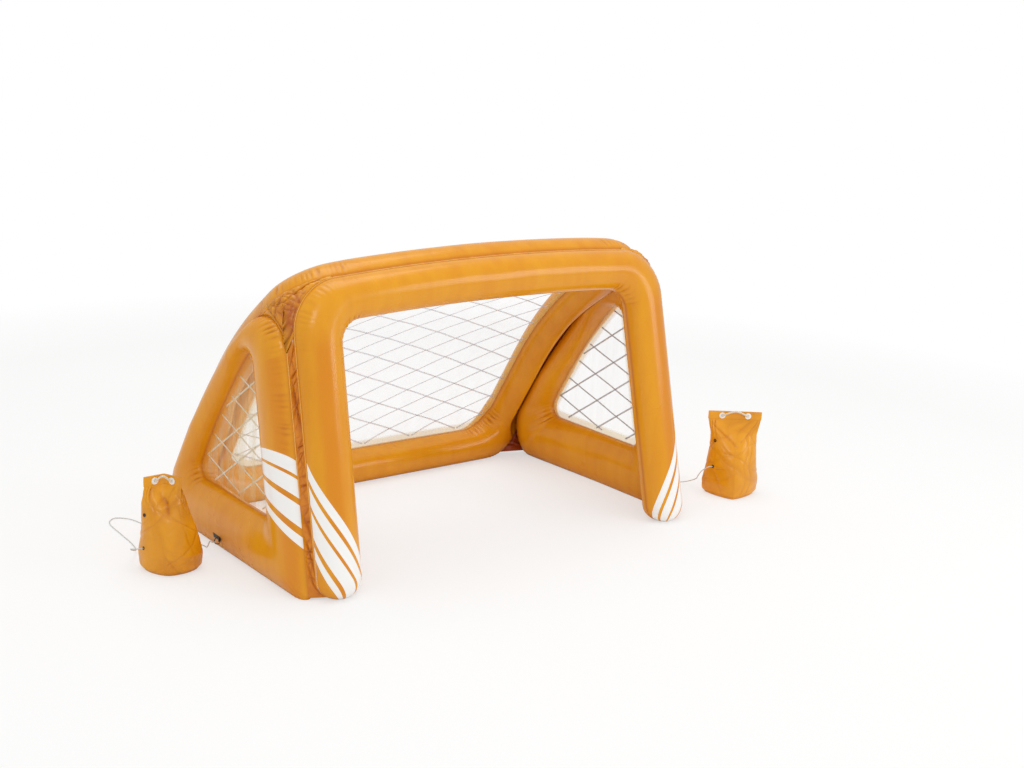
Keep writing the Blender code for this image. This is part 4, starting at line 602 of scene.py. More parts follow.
@dataclass(frozen=True)
class CrinkledVinyl:
    """Slack, crinkled vinyl of webs, gussets and bags, with painted shade in the folds.

    Attributes:
        name: Material name.
        colour: Body colour.
        deep: Colour of the painted shade in the folds.
        crinkle: Size of the fine crinkles, in folds for each metre.
        lift: Height of the fine crinkles, in metres.
        roughness: Gloss of the skin.
    """

    name: str
    colour: Colour
    deep: Colour
    crinkle: float = 45.0
    lift: float = 0.0015
    roughness: float = 0.33

    def make(self) -> bpy.types.Material:
        """Builds the material."""
        recipe = Recipe(self.name)
        cloudy = recipe.noise(recipe.place, scale=9.0, detail=4.0, distortion=0.6)
        cells = recipe.node("ShaderNodeTexVoronoi", feature="SMOOTH_F1")
        recipe.link(recipe.place, cells.inputs["Vector"])
        cells.inputs["Scale"].default_value = self.crinkle
        pale = tuple(min(1.0, channel * 1.12) for channel in self.colour)
        rich = tuple(channel * gain for channel, gain in zip(self.colour, (0.9, 0.8, 0.75)))
        body = recipe.mixed(recipe.ranged(cloudy, 0.3, 0.7, 0.0, 1.0), rich, pale)
        # Painted shade in the folds
        colour = recipe.mixed(recipe.ranged(recipe.attribute("crease"), 0.0, 1.0, 0.0, 0.9), body, self.deep)
        folds = recipe.bump(cells.outputs["Distance"], distance=self.lift, strength=0.5)
        fine = recipe.noise(recipe.place, scale=140.0, detail=3.0)
        normal = recipe.bump(fine, distance=0.0001, strength=0.4, before=folds)
        gloss = recipe.ranged(cloudy, 0.3, 0.7, self.roughness - 0.05, self.roughness + 0.08)
        return recipe.settle(Base_Color=colour, Roughness=gloss, Normal=normal, Specular_IOR_Level=0.42,
                             Coat_Weight=0.12, Coat_Roughness=0.2)


@dataclass(frozen=True)
class ClearFilm:
    """Clear window film, hazy in streaks, with painted light and shade along its rim.

    Attributes:
        name: Material name.
        colour: Colour of the haze.
        thin: Least haze.
        thick: Most haze.
        roughness: Gloss of the film.
        margin_colour: Painted light and shade of the tube's edge along the rim, at the weld.
        margin_haze: Haze of that margin.
    """

    name: str
    colour: Colour = (0.97, 0.97, 0.96)
    thin: float = 0.03
    thick: float = 0.10
    roughness: float = 0.12
    margin_colour: Colour = (0.93, 0.80, 0.30)
    margin_haze: float = 0.50

    def make(self) -> bpy.types.Material:
        """Builds the material."""
        recipe = Recipe(self.name)
        slanted = recipe.stretched((26.0, 34.0, 3.5), turn=(0.35, 0.2, 0.0))
        streaks = recipe.noise(slanted, scale=1.0, detail=3.0, distortion=0.6)
        body = recipe.ranged(streaks, 0.35, 0.65, self.thin, self.thick)
        margin = recipe.ranged(recipe.attribute("rim"), 0.018, 0.030, 1.0, 0.0)
        haze = recipe.sum_of("MAXIMUM", body, recipe.sum_of("MULTIPLY", margin, self.margin_haze))
        slow = recipe.noise(recipe.stretched((9.0, 9.0, 5.0)), scale=1.0, detail=2.0, distortion=0.4)
        waves = recipe.bump(slow, distance=0.003, strength=0.4)
        recipe.material.surface_render_method = "BLENDED"
        clear = recipe.mixed(streaks, self.colour, tuple(channel * 0.97 for channel in self.colour))
        # Painted light and shade of the tube's edge along the rim
        tint = recipe.mixed(margin, clear, self.margin_colour)
        return recipe.settle(Base_Color=tint, Alpha=haze, Normal=waves, Roughness=self.roughness,
                             Specular_IOR_Level=0.6)


@dataclass(frozen=True)
class NetInk:
    """White ink of the printed net.

    Attributes:
        name: Material name.
        colour: Colour of the ink.
        cover: How far the thin ink covers what lies behind it.
    """

    name: str
    colour: Colour = (0.88, 0.92, 1.0)
    cover: float = 0.52

    def make(self) -> bpy.types.Material:
        """Builds the material."""
        recipe = Recipe(self.name)
        patchy = recipe.noise(recipe.place, scale=60.0, detail=3.0)
        worn = tuple(channel * 0.93 for channel in self.colour)
        recipe.material.surface_render_method = "BLENDED"
        colour = recipe.mixed(recipe.ranged(patchy, 0.3, 0.7, 0.0, 1.0), worn, self.colour)
        normal = recipe.bump(patchy, distance=0.00005, strength=0.3)
        return recipe.settle(Base_Color=colour, Alpha=self.cover, Roughness=0.42, Normal=normal)


@dataclass(frozen=True)
class MouldedPlastic:
    """Plain moulded plastic, rubber or plated metal with a fine grain.

    Attributes:
        name: Material name.
        colour: Body colour.
        roughness: Gloss.
        metallic: 1 for metal.
        grain: Fineness of the grain.
    """

    name: str
    colour: Colour
    roughness: float = 0.35
    metallic: float = 0.0
    grain: float = 900.0

    def make(self) -> bpy.types.Material:
        """Builds the material."""
        recipe = Recipe(self.name)
        broad = recipe.noise(recipe.place, scale=45.0, detail=3.0)
        fine = recipe.noise(recipe.place, scale=self.grain, detail=2.0)
        worn = tuple(min(1.0, channel * 1.15 + 0.004) for channel in self.colour)
        colour = recipe.mixed(recipe.ranged(broad, 0.35, 0.7, 0.0, 1.0), self.colour, worn)
        gloss = recipe.ranged(broad, 0.3, 0.7, self.roughness - 0.05, self.roughness + 0.08)
        normal = recipe.bump(fine, distance=0.00006, strength=0.5)
        return recipe.settle(Base_Color=colour, Roughness=gloss, Metallic=self.metallic, Normal=normal)


@dataclass(frozen=True)
class BraidedCord:
    """Pale braided cord, whose strands cross at a slant.

    Attributes:
        name: Material name.
        colour: Colour of the strands.
        gap: Colour of the painted shade between the strands.
        pitch: Length of one turn of a strand, in metres.
        strands: Number of strands each way.
    """

    name: str
    colour: Colour = (0.80, 0.79, 0.76)
    gap: Colour = (0.42, 0.40, 0.36)
    pitch: float = 0.008
    strands: float = 6.0

    def make(self) -> bpy.types.Material:
        """Builds the material."""
        recipe = Recipe(self.name)
        turns = recipe.sum_of("DIVIDE", recipe.attribute("along"), self.pitch)
        heights = []
        for way in ("ADD", "SUBTRACT"):
            phase = recipe.sum_of(way, recipe.attribute("around"), turns)
            angle = recipe.sum_of("MULTIPLY", phase, 2 * math.pi * self.strands)
            heights.append(recipe.sum_of("SINE", angle, 0.0))
        weave = recipe.sum_of("MAXIMUM", heights[0], heights[1])
        # Painted shade between the strands
        colour = recipe.mixed(recipe.ranged(weave, -0.2, 0.6, 0.0, 1.0), self.gap, self.colour)
        normal = recipe.bump(weave, distance=0.0002, strength=0.6)
        return recipe.settle(Base_Color=colour, Roughness=0.75, Normal=normal)


@dataclass(frozen=True)
class StillWater:
    """Clear water with a faint tint.

    Attributes:
        name: Material name.
        colour: Its tint.
    """

    name: str
    colour: Colour = (0.55, 0.68, 0.72)

    def make(self) -> bpy.types.Material:
        """Builds the material."""
        recipe = Recipe(self.name)
        slow = recipe.noise(recipe.place, scale=12.0, detail=2.0)
        tint = recipe.mixed(slow, self.colour, tuple(channel * 0.92 for channel in self.colour))
        normal = recipe.bump(slow, distance=0.0005, strength=0.3)
        return recipe.settle(Base_Color=tint, Roughness=0.08, Normal=normal)


class Palette:
    """Every finish, made once."""

    def __init__(self) -> None:
        """Makes the materials."""
        self.arch = ChamberVinyl("arch_vinyl_finish", bands=(
            (0.198, 0.239), (0.129, 0.179), (0.045, 0.113), (-0.012, 0.022))).make()
        self.side = ChamberVinyl("side_vinyl_finish", bands=(
            (0.334, 0.373), (0.275, 0.324), (0.197, 0.257), (0.144, 0.174))).make()
        self.back = ChamberVinyl("back_vinyl_finish").make()
        # The beads' paler colour is a painted highlight on the raised weld edges
        self.weld = ChamberVinyl("weld_vinyl_finish", (0.90, 0.50, 0.10), roughness=0.35).make()
        # The webs' colour is darker than the chambers': painted shade of the gaps that they lie in
        self.web = CrinkledVinyl("web_vinyl_finish", (0.74, 0.260, 0.006), deep=(0.34, 0.050, 0.003),
                                 crinkle=60.0, lift=0.0022, roughness=0.34).make()
        self.puff = CrinkledVinyl("gusset_vinyl_finish", (0.83, 0.385, 0.012), deep=(0.42, 0.070, 0.004),
                                  crinkle=75.0, lift=0.0026, roughness=0.27).make()
        # The floor gussets' colour is far darker than the chambers': painted shade of the low rear corners
        self.patch = CrinkledVinyl("floor_patch_finish", (0.46, 0.082, 0.010), deep=(0.24, 0.028, 0.006),
                                   crinkle=60.0).make()
        self.bag = CrinkledVinyl("bag_vinyl_finish", (0.79, 0.345, 0.005), deep=(0.52, 0.140, 0.004),
                                 crinkle=30.0, lift=0.0026, roughness=0.30).make()
        # The back and right films keep the pale yellow rim: a painted highlight along the weld
        self.film = ClearFilm("back_film_finish").make()
        # Left film: tan streaks paint the tubes' highlights seen through it; its orange rim is painted shade
        self.side_film = {Side.LEFT: ClearFilm("left_film_finish", (0.80, 0.62, 0.30), thin=0.12, thick=0.50,
                                               margin_colour=(0.85, 0.42, 0.04), margin_haze=0.25).make(),
                          Side.RIGHT: ClearFilm("right_film_finish").make()}
        self.net = NetInk("net_ink_finish").make()
        # The right net's grey ink is painted shade on white ink seen against the bright backdrop
        self.side_net = {Side.LEFT: NetInk("left_net_ink_finish", (0.95, 0.94, 0.88), cover=1.0).make(),
                         Side.RIGHT: NetInk("right_net_ink_finish", (0.60, 0.62, 0.66), cover=0.70).make()}
        self.valve = MouldedPlastic("valve_plastic_finish", (0.80, 0.35, 0.03), roughness=0.34).make()
        self.black = MouldedPlastic("black_plastic_finish", (0.012, 0.012, 0.013), roughness=0.42).make()
        self.white = MouldedPlastic("white_plastic_finish", (0.84, 0.84, 0.82), roughness=0.30).make()
        self.dark = MouldedPlastic("dark_metal_finish", (0.06, 0.035, 0.025), roughness=0.33,
                                   metallic=0.8).make()
        # The cords' gap colours are painted shade between the strands
        self.cord = BraidedCord("braided_cord_finish").make()
        self.handle = BraidedCord("handle_cord_finish", (0.86, 0.80, 0.66), gap=(0.50, 0.42, 0.30),
                                  pitch=0.016, strands=5.0).make()
        self.water = StillWater("ballast_water_finish").make()


def add_piece(name: str, sheets: list[Sheet], finish: bpy.types.Material, slot: Slot, body: Body,
              *stands_for: str) -> bpy.types.Object:
    """Makes a piece and gives it its finish and the body that it rides on.

    Args:
        name: The piece's name.
        sheets: Its surfaces.
        finish: Its material.
        slot: Not used.
        body: The body that carries it.
        *stands_for: Nodes that it replaces.

    Returns:
        The piece.
    """
    piece = mesh_piece(name, sheets)
    piece.data.materials.append(finish)
    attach(piece, body.value)
    if stands_for:
        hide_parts(*stands_for)
    LOG.info("%s: %d faces, rides on %s", piece.name, len(piece.data.polygons), body.value)
    return piece


# The goal's panels

@dataclass(frozen=True)
class GoalSizes:
    """Sizes of the goal. Widths of chambers run from the seam to the inner weld line."""

    width_floor: float = 1.31
    width_top: float = 1.28
    width_back: float = 1.29
    height: float = 0.797
    front_foot_y: float = -0.400
    front_top_y: float = -0.215
    knee: tuple[float, float] = (0.130, 0.535)
    knee_radius: float = 1.10
    heel: tuple[float, float] = (0.398, 0.120)
    heel_radius: float = 0.12
    back_foot_y: float = 0.378
    leg_foot_width: float = 0.146
    leg_top_width: float = 0.150
    crossbar_width: float = 0.120
    side_front_width: float = 0.168
    side_bottom_width: float = 0.157
    back_leg_width: float = 0.157
    back_top_width: float = 0.120
    back_bottom_width: float = 0.098
    arch_thickness: float = 0.108
    side_thickness: float = 0.090
    side_thickness_share: float = 0.96
    back_thickness: float = 0.120
    arch_outer_radius: float = 0.130
    arch_inner_radius: float = 0.060
    foot_radius: float = 0.050
    foot_end_share: float = 0.25
    side_front_bottom_radius: float = 0.020
    side_top_radius: float = 0.100
    side_rear_radius: float = 0.070
    back_outer_top_radius: float = 0.135
    back_outer_floor_radius: float = 0.165
    back_inner_radius: float = 0.100
    window_top: tuple[float, float] = (-0.081, 0.631)
    window_rear_y: float = 0.257
    window_bulge: float = 0.018
    window_top_radius: float = 0.040
    window_front_radius: float = 0.032
    window_rear_radius: float = 0.035
    front_inset: float = 0.016
    rear_inset: float = 0.014
    top_inset: float = 0.006
    floor_sink: float = 0.009
    press_gap: float = 0.0006
    press_softness: float = 0.0030
    floor_softness: float = 0.0012
    corner_shift: float = 0.036
    corner_shift_start: float = 0.008
    corner_shift_reach: float = 0.045
    corner_shift_height: float = 0.74
    corner_shift_fade: float = 0.25
    inner_bulge: float = 0.75
    bow: float = 0.028
    bow_half_width: float = 0.62
    bow_softness: float = 0.004


class GoalShape:
    """Planes and curves that the panels lie on, in the goal's own frame."""

    knee_steps = 30
    heel_steps = 18
    # Two faces of a chamber are pressed in turn, until both are clear
    press_rounds = 3

    def __init__(self, sizes: GoalSizes) -> None:
        """Works out the front plane, the side plane and the back profile.

        Args:
            sizes: The goal's sizes.
        """
        self.sizes = sizes
        lean = sizes.front_top_y - sizes.front_foot_y
        self.up = unit(np.array((0.0, lean, sizes.height)))
        self.backward = np.array((0.0, self.up[2], -self.up[1]))
        self.front_origin = np.array((0.0, sizes.front_foot_y, 0.0))
        self.front_length = math.hypot(lean, sizes.height)
        self.side_origin = np.array((sizes.width_floor / 2, sizes.front_foot_y, 0.0))
        side_top = np.array((sizes.width_top / 2, sizes.front_top_y, sizes.height))
        side_back = np.array((sizes.width_back / 2, sizes.back_foot_y, 0.0))
        self.outward = unit(np.cross(side_back - self.side_origin, side_top - self.side_origin))
        top, foot = (sizes.front_top_y, sizes.height), (sizes.back_foot_y, 0.0)
        to_floor = unit(np.subtract(foot, sizes.heel))
        end = np.add(foot, to_floor * sizes.floor_sink / -to_floor[1])
        self.profile = np.concatenate([
            [top], arc_at_corner(top, sizes.knee, sizes.heel, sizes.knee_radius, self.knee_steps),
            arc_at_corner(sizes.knee, sizes.heel, foot, sizes.heel_radius, self.heel_steps), [end],
        ])
        self.breaks = lengths_along(self.profile)
        self.steps = unit(np.diff(self.profile, axis=0))
        self.step_normals = np.stack([-self.steps[:, 1], self.steps[:, 0]], 1)
        normals = self.step_normals
        self.break_normals = unit(np.concatenate([normals[:1], normals[:-1] + normals[1:], normals[-1:]]))
        self.top_inward = np.concatenate([[0.0], -self.step_normals[0]])
        self.top_point = np.array((0.0, *top))

    def side_x(self, y: Array, z: Array) -> Array:
        """X of the right side's plane at a place in the side view."""
        rise = self.outward[1] * (y - self.side_origin[1]) + self.outward[2] * (z - self.side_origin[2])
        return self.side_origin[0] - rise / self.outward[0]

    def on_front(self, flat: Array, offset: Array) -> Array:
        """Places points (x, height up the front plane) with an offset behind that plane."""
        return (self.front_origin + flat[..., :1] * np.array((1.0, 0, 0)) + flat[..., 1:] * self.up
                + offset[..., None] * self.backward)

    def on_side(self, flat: Array, offset: Array) -> Array:
        """Places points (y, z) of the right side's plane with an offset outwards."""
        x = self.side_x(flat[..., 0], flat[..., 1])
        return np.stack([x, flat[..., 0], flat[..., 1]], -1) + offset[..., None] * self.outward

    def on_back(self, flat: Array, offset: Array) -> Array:
        """Places points (x, distance down the back profile) with an offset outwards."""
        down = flat[..., 1]
        y, z = (np.interp(down, self.breaks, column) for column in self.profile.T)
        normal_y, normal_z = (np.interp(down, self.breaks, column) for column in self.break_normals.T)
        scale = offset / np.hypot(normal_y, normal_z)
        return np.stack([flat[..., 0], y + scale * normal_y, z + scale * normal_z], -1)

    def back_half_width(self, down: Array) -> Array:
        """Half width of the back between the rear seams, at a distance down the profile."""
        y, z = (np.interp(down, self.breaks, column) for column in self.profile.T)
        return self.side_x(y, z)

    def behind_front(self, points: Array) -> Array:
        """Distance of points behind the front plane."""
        return (points - self.front_origin) @ self.backward

    def outside_side(self, points: Array) -> Array:
        """Distance of points outside the right side's plane."""
        return (points - self.side_origin) @ self.outward

    def inside_top(self, points: Array) -> Array:
        """Depth of points inside the flat upper part of the back."""
        return (points - self.top_point) @ self.top_inward

    def inside_back(self, points: Array) -> tuple[Array, Array]:
        """Depth of points inside the back profile, and the inward direction there."""
        depths = -np.sum((points[..., None, 1:] - self.profile[:-1]) * self.step_normals, -1)
        nearest = np.argmin(depths, -1)
        depth = np.take_along_axis(depths, nearest[..., None], -1)[..., 0]
        inward = -self.step_normals[nearest]
        return depth, np.concatenate([np.zeros(inward.shape[:-1] + (1,)), inward], -1)

    def press(self, points: Array, excess: Array, direction: Array) -> Array:
        """Moves points back along a direction until the excess is gone, with a soft start.

        The move is the mean of the excess and its root of squares with the softness, so it grows
        smoothly from nothing where the surfaces are apart.

        Args:
            points: Points of the chamber.
            excess: How far each point is past the mitre, less than nought before it.
            direction: The way in which the excess grows, as long as its growth for each metre.

        Returns:
            The points after the move.
        """
        soft = self.sizes.press_softness
        move = (excess + np.sqrt(excess ** 2 + soft ** 2)) / 2 / np.sum(direction * direction, -1)
        return points - move[..., None] * direction

    def on_floor(self, points: Array) -> Array:
        """Flattens what would reach below the floor, with a soft start."""
        height = points[..., 2]
        lifted = (height + np.sqrt(height ** 2 + self.sizes.floor_softness ** 2)) / 2
        return np.concatenate([points[..., :2], lifted[..., None]], -1)

    def corner_shift(self, points: Array, depth: Array) -> Array:
        """How far a side chamber bulges past the mitre into the back.

        It is none at the seam and full a few centimetres inside it, and it fades out further up.

        Args:
            points: Points near the mitre.
            depth: Their depth inside the back.

        Returns:
            The shift at each point.
        """
        sizes = self.sizes
        low = eased((sizes.corner_shift_height - points[..., 2]) / sizes.corner_shift_fade)
        in_seam = (depth - self.outside_side(points)) / 2
        inside = eased((in_seam - sizes.corner_shift_start) / sizes.corner_shift_reach)
        return sizes.corner_shift * low * inside

    def front_seam(self, points: Array) -> tuple[Array, Array]:
        """How far points are past the mitre between arch and side, seen from the arch, and its direction."""
        return self.behind_front(points) + self.outside_side(points), self.backward + self.outward

    def top_seam(self, points: Array) -> tuple[Array, Array]:
        """The same for the mitre between arch and back, seen from the arch."""
        return self.behind_front(points) - self.inside_top(points), self.backward - self.top_inward

    def rear_seam(self, points: Array) -> tuple[Array, Array]:
        """The same for the mitre between back and side, seen from the back."""
        depth, inward = self.inside_back(points)
        past = depth + self.outside_side(points) + self.corner_shift(points, depth)
        return past, inward + self.outward

    def pressed(self, points: Array, seams: tuple[tuple[Seam, float], ...]) -> Array:
        """Flattens a chamber's right half against its neighbours and the floor.

        Args:
            points: Points of the chamber.
            seams: Mitres that it is pressed against, each with 1, or with -1 from the mitre's other side.

        Returns:
            The points, clear of the mitres.
        """
        for _ in range(self.press_rounds):
            for seam, sign in seams:
                excess, direction = seam(points)
                points = self.press(points, sign * excess + self.sizes.press_gap, sign * direction)
        return self.on_floor(points)

    def placed(self, points: Array) -> Array:
        """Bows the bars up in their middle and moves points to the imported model's frame.

        The bow is a parabola of X that grows with the height, as air pressure rounds a long tube.

        Args:
            points: Points in the goal's own frame.

        Returns:
            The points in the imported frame.
        """
        sizes = self.sizes
        rise = 1 - (points[..., 0] / sizes.bow_half_width) ** 2
        share = (rise + np.sqrt(rise ** 2 + sizes.bow_softness)) / 2
        lift = sizes.bow * share * points[..., 2] / sizes.height
        return points + np.stack([0 * lift, 0 * lift, lift], -1) + ORIGIN


@dataclass
class WeldLines:
    """Outer and inner weld line of a chamber, in stretches that are named by the chamber's parts.

    Attributes:
        outer: Outer points of each stretch.
        inner: Inner points of each stretch.
        bend: How strongly each stretch puckers at its inner and its outer weld.
        first: Number of each stretch's first point.
        count: Number of points so far.
    """

    outer: list[Array] = field(default_factory=list)
    inner: list[Array] = field(default_factory=list)
    bend: list[Array] = field(default_factory=list)
    first: dict[str, int] = field(default_factory=dict)
    count: int = 0

    def stretch(self, name: str, outer: Array, inner: Array, steps: int,
                puckers: tuple[float, float]) -> None:
        """Adds a stretch whose outer and inner points are paired at equal shares of their lines.

        Args:
            name: The stretch's name.
            outer: Its outer line.
            inner: Its inner line.
            steps: Number of points on it.
            puckers: Strength of the puckers at the inner and at the outer weld.
        """
        shares = np.linspace(0, 1, steps, endpoint=False)
        self.first[name] = self.count
        self.count += steps
        self.outer.append(points_at(outer, shares))
        self.inner.append(points_at(inner, shares))
        bump = np.sin(math.pi * shares) ** PUCKER_FADE
        self.bend.append(LEAST_PUCKER + bump[:, None] * np.array(puckers))

    def straight(self, name: str, start: PointPair, end: PointPair, steps: int,
                 puckers: tuple[float, float]) -> None:
        """Adds a straight stretch between two pairs of an outer and an inner point."""
        self.stretch(name, [start[0], end[0]], [start[1], end[1]], steps, puckers)

    def joined(self) -> tuple[Array, Array, Array]:
        """Outer points, inner points and pucker strengths of all stretches."""
        return np.concatenate(self.outer), np.concatenate(self.inner), np.concatenate(self.bend)


@dataclass
class ChamberSkin:
    """Surface of a chamber on the goal's right half or right side, before it is placed.

    Attributes:
        points: Stations by angles by three. Angle 0 is the outer weld, the middle one the inner weld.
        crease: Painted shade in the creases and along the welds.
        angle: Angle round the section, seen from the printed face.
        level: Distance up the panel at each station and angle.
        weld_outer: Outer weld line.
        weld_inner: Inner weld line.
        first: Number of each stretch's first station.
        arc: Stations on the outer weld line's upper corner, where a top gusset starts.
    """

    points: Array
    crease: Array
    angle: Array
    level: Array
    weld_outer: Array
    weld_inner: Array
    first: dict[str, int]
    arc: NDArray[np.int64] | None = None


@dataclass(frozen=True)
class Puckers:
    """Folds along a chamber's welds. Peaks and widths are angles round the section, from the weld."""

    depth: float = 0.0062
    inner_pitch: float = 0.0135
    outer_pitch: float = 0.0165
    inner_peak: float = 0.40
    outer_peak: float = 0.46
    wander: float = 0.003
    unevenness: float = 0.0009
    unevenness_peak: float = 1.2
    # Painted shade: its darkness in the folds and along the inner and the outer weld, and its reach from a
    # weld
    fold_shadow: float = 1.1
    inner_weld_shadow: float = 0.75
    outer_weld_shadow: float = 0.5
    weld_shadow_width: float = 0.10


def inflate(outer: Array, inner: Array, bend: Array, half: Array, place: Place, seed: float,
            puckers: Puckers = Puckers()) -> tuple[Array, Array]:
    """Oval sections between two weld lines, with puckers and a slight unevenness.

    A section's point is the middle of the welds, plus the arm to the outer weld times the cosine, off the
    panel by the half thickness times the sine. Puckers move it inwards along the oval's own normal.

    Args:
        outer: Outer weld points on the flat panel.
        inner: Inner weld points on it.
        bend: Pucker strengths at the inner and the outer weld of each station.
        half: Half thickness of each station.
        place: Puts flat points and their offset into space.
        seed: Makes one chamber's folds differ from another's.
        puckers: Sizes of the folds.

    Returns:
        Points, stations by angles by three, and the painted shade of the creases and along the welds.
    """
    cos, sin = np.cos(ANGLES), np.sin(ANGLES)
    middle, arm = (outer + inner) / 2, (outer - inner) / 2
    reach = np.linalg.norm(arm, axis=1)[:, None]
    normal_arm, normal_off = cos[None] / reach, sin[None] / half[:, None]
    size = np.hypot(normal_arm, normal_off)
    inner_along = lengths_along(inner)[:, None] + puckers.wander * np.sin(3 * ANGLES)[None]
    outer_along = lengths_along(outer)[:, None] + puckers.wander * np.sin(2 * ANGLES + 1)[None]
    from_outer = np.minimum(ANGLES, 2 * math.pi - ANGLES)
    from_inner = math.pi - from_outer
    inner_weight = bend[:, :1] * near_weld(from_inner, puckers.inner_peak)[None]
    outer_weight = bend[:, 1:] * near_weld(from_outer, puckers.outer_peak)[None]
    fold = (inner_weight * valleys(inner_along, puckers.inner_pitch, seed)
            + outer_weight * valleys(outer_along, puckers.outer_pitch, seed + 2))
    quiet = np.minimum(near_weld(from_inner, puckers.unevenness_peak),
                       near_weld(from_outer, puckers.unevenness_peak))[None]
    depth = puckers.depth * fold - puckers.unevenness * quiet * swell(outer_along, ANGLES[None], seed)
    flat = (middle[:, None] + arm[:, None] * cos[None, :, None]
            - (depth * normal_arm / size / reach)[..., None] * arm[:, None])
    offset = half[:, None] * sin[None] - depth * normal_off / size
    # Painted shade along the inner and the outer weld
    weld = sum(dark * np.exp(-(away / puckers.weld_shadow_width) ** 2) for dark, away in (
        (puckers.inner_weld_shadow, from_inner), (puckers.outer_weld_shadow, from_outer)))
    return place(flat, offset), np.clip(fold * puckers.fold_shadow + weld[None], 0, 1)


class GoalPanels:
    """Surfaces of the four chambers, in the goal's own frame and on its right side."""

    foot_pucker = 0.5
    # The inner half of a side's rear leg is fuller: stations from the top's first one to where that
    # starts, and stations that it takes; then the same past the bottom's first one, where it ends
    fuller_from, fuller_over = 30, 60
    fuller_to, fuller_fade = 36, 50
    # Points on a side's front bottom and rear bottom corners, on its window's front corner and rear edge
    front_steps, rear_steps, window_front_steps, window_edge_points = 10, 24, 14, 60
    # Share of its thickness that is left of a chamber where only its middle sheet is wanted
    flat_share = 1e-3

    def __init__(self, shape: GoalShape) -> None:
        """Works out all panels.

        Args:
            shape: The planes and curves that they lie on.
        """
        self.shape = shape
        self.window = self.side_window()
        self.arch = self.arch_skin()
        self.side = self.side_skin()
        self.back = self.back_skin()

    def side_window(self) -> tuple[Array, Array, Array, Array]:
        """A side chamber's inner weld line, in the side view.

        Returns:
            Its front arc, its top arc, the bulged rear edge and the rear arc.
        """
        shape, sizes = self.shape, self.shape.sizes
        inside = shape.front_origin[1:] + shape.backward[1:] * sizes.side_front_width
        front_bottom = line_meet(inside, shape.up[1:], (0, sizes.side_bottom_width), (1, 0))
        top, rear = np.array(sizes.window_top), np.array((sizes.window_rear_y, sizes.side_bottom_width))
        chord = rear - top
        outward = unit(np.array((-chord[1], chord[0])))
        share = np.array((0.25, 0.5, 0.75))[:, None]
        bulge = top + share * chord + 4 * share * (1 - share) * sizes.window_bulge * outward
        front_arc = arc_at_corner(rear, front_bottom, top, sizes.window_front_radius,
                                  self.window_front_steps)
        top_arc = arc_at_corner(front_bottom, top, bulge[0], sizes.window_top_radius,
                               WINDOW_CORNER_STEPS)
        rear_arc = arc_at_corner(bulge[-1], rear, front_bottom, sizes.window_rear_radius,
                                WINDOW_CORNER_STEPS)
        edge = smooth_path(np.concatenate([top_arc[-1:], bulge, rear_arc[:1]]), self.window_edge_points)
        return front_arc, top_arc, edge, rear_arc

    def arch_skin(self) -> ChamberSkin:
        """The arch's right half, from the middle of the crossbar to the foot."""
        shape, sizes = self.shape, self.shape.sizes
        top_outer = shape.front_length - sizes.top_inset
        top_inner = shape.front_length - sizes.crossbar_width
        half_outer = sizes.width_top / 2 - sizes.front_inset
        half_inner = sizes.width_top / 2 - sizes.leg_top_width
        bar_end, leg_top = half_inner - sizes.arch_inner_radius, top_inner - sizes.arch_inner_radius
        foot = sizes.foot_radius
        outer_arc = arc_at_corner((0, top_outer), (half_outer, top_outer), (half_outer, 0),
                                  sizes.arch_outer_radius, CORNER_STEPS)
        inner_arc = arc_at_corner((0, top_inner), (half_inner, top_inner), (half_inner, 0),
                                  sizes.arch_inner_radius, CORNER_STEPS)
        bar = ((bar_end, top_outer), (bar_end, top_inner))
        leg = ((half_outer, leg_top), (half_inner, leg_top))
        lines = WeldLines()
        lines.straight("bar", ((0, top_outer), (0, top_inner)), bar, steps=48, puckers=(0, 0))
        lines.stretch("corner", [bar[0], *outer_arc, leg[0]], inner_arc, steps=84, puckers=(0.9, 0.35))
        lines.straight("leg", leg, ((half_outer, foot), (half_inner, foot)), steps=64, puckers=(0, 0))
        outer, inner, bend = lines.joined()
        turn = np.linspace(0, math.pi / 2, FOOT_STEPS)
        height = foot * (1 - np.sin(turn))
        inset = foot * (1 - np.cos(turn))
        outer = np.concatenate([outer, np.stack([half_outer - inset, height], 1)])
        inner = np.concatenate([inner, np.stack([half_inner + inset, height], 1)])
        foot_bend = LEAST_PUCKER + self.foot_pucker * np.sin(turn)
        bend = np.concatenate([bend, np.stack([foot_bend, foot_bend], 1)])
        share = sizes.foot_end_share + (1 - sizes.foot_end_share) * np.cos(turn)
        half = np.concatenate([np.ones(lines.count), share]) * sizes.arch_thickness / 2
        lean = np.concatenate([np.zeros(lines.count), np.sin(turn) ** 2])
        widening = (sizes.width_floor - sizes.width_top) / 2
        foot_gain = widening + sizes.leg_top_width - sizes.leg_foot_width
        on_arc = (outer[:, 0] >= half_outer - sizes.arch_outer_radius - NEAR) & (
            outer[:, 1] >= top_outer - sizes.arch_outer_radius - NEAR)
        arc = np.flatnonzero(on_arc)
        outer[:, 0] += (1 - outer[:, 1] / shape.front_length) * widening * outer[:, 0] / half_outer
        inner[:, 0] += (1 - inner[:, 1] / shape.front_length) * foot_gain * inner[:, 0] / half_inner
        rings, crease = inflate(outer, inner, bend, half, shape.on_front, 1.0)
        middle, _ = inflate(outer, inner, bend * 0, half * self.flat_share, shape.on_front, 1.0)
        # The feet are rounded off level with the floor, the rest square to the leaning plane
        thickness = rings - middle
        level = np.linalg.norm(thickness, axis=-1) * np.sign(thickness[..., 1])
        level_thickness = np.stack([0 * level, level, 0 * level], -1)
        mix = lean[:, None, None]
        rings = middle + (1 - mix) * thickness + mix * level_thickness
        angle = np.broadcast_to(2 * math.pi - ANGLES, crease.shape)
        height = np.broadcast_to(((outer + inner) / 2)[:, 1:], crease.shape)
        rings = shape.pressed(rings, ((shape.front_seam, 1.0), (shape.top_seam, 1.0)))
        return ChamberSkin(rings, crease, angle, height, rings[:, 0], inner, lines.first, arc)

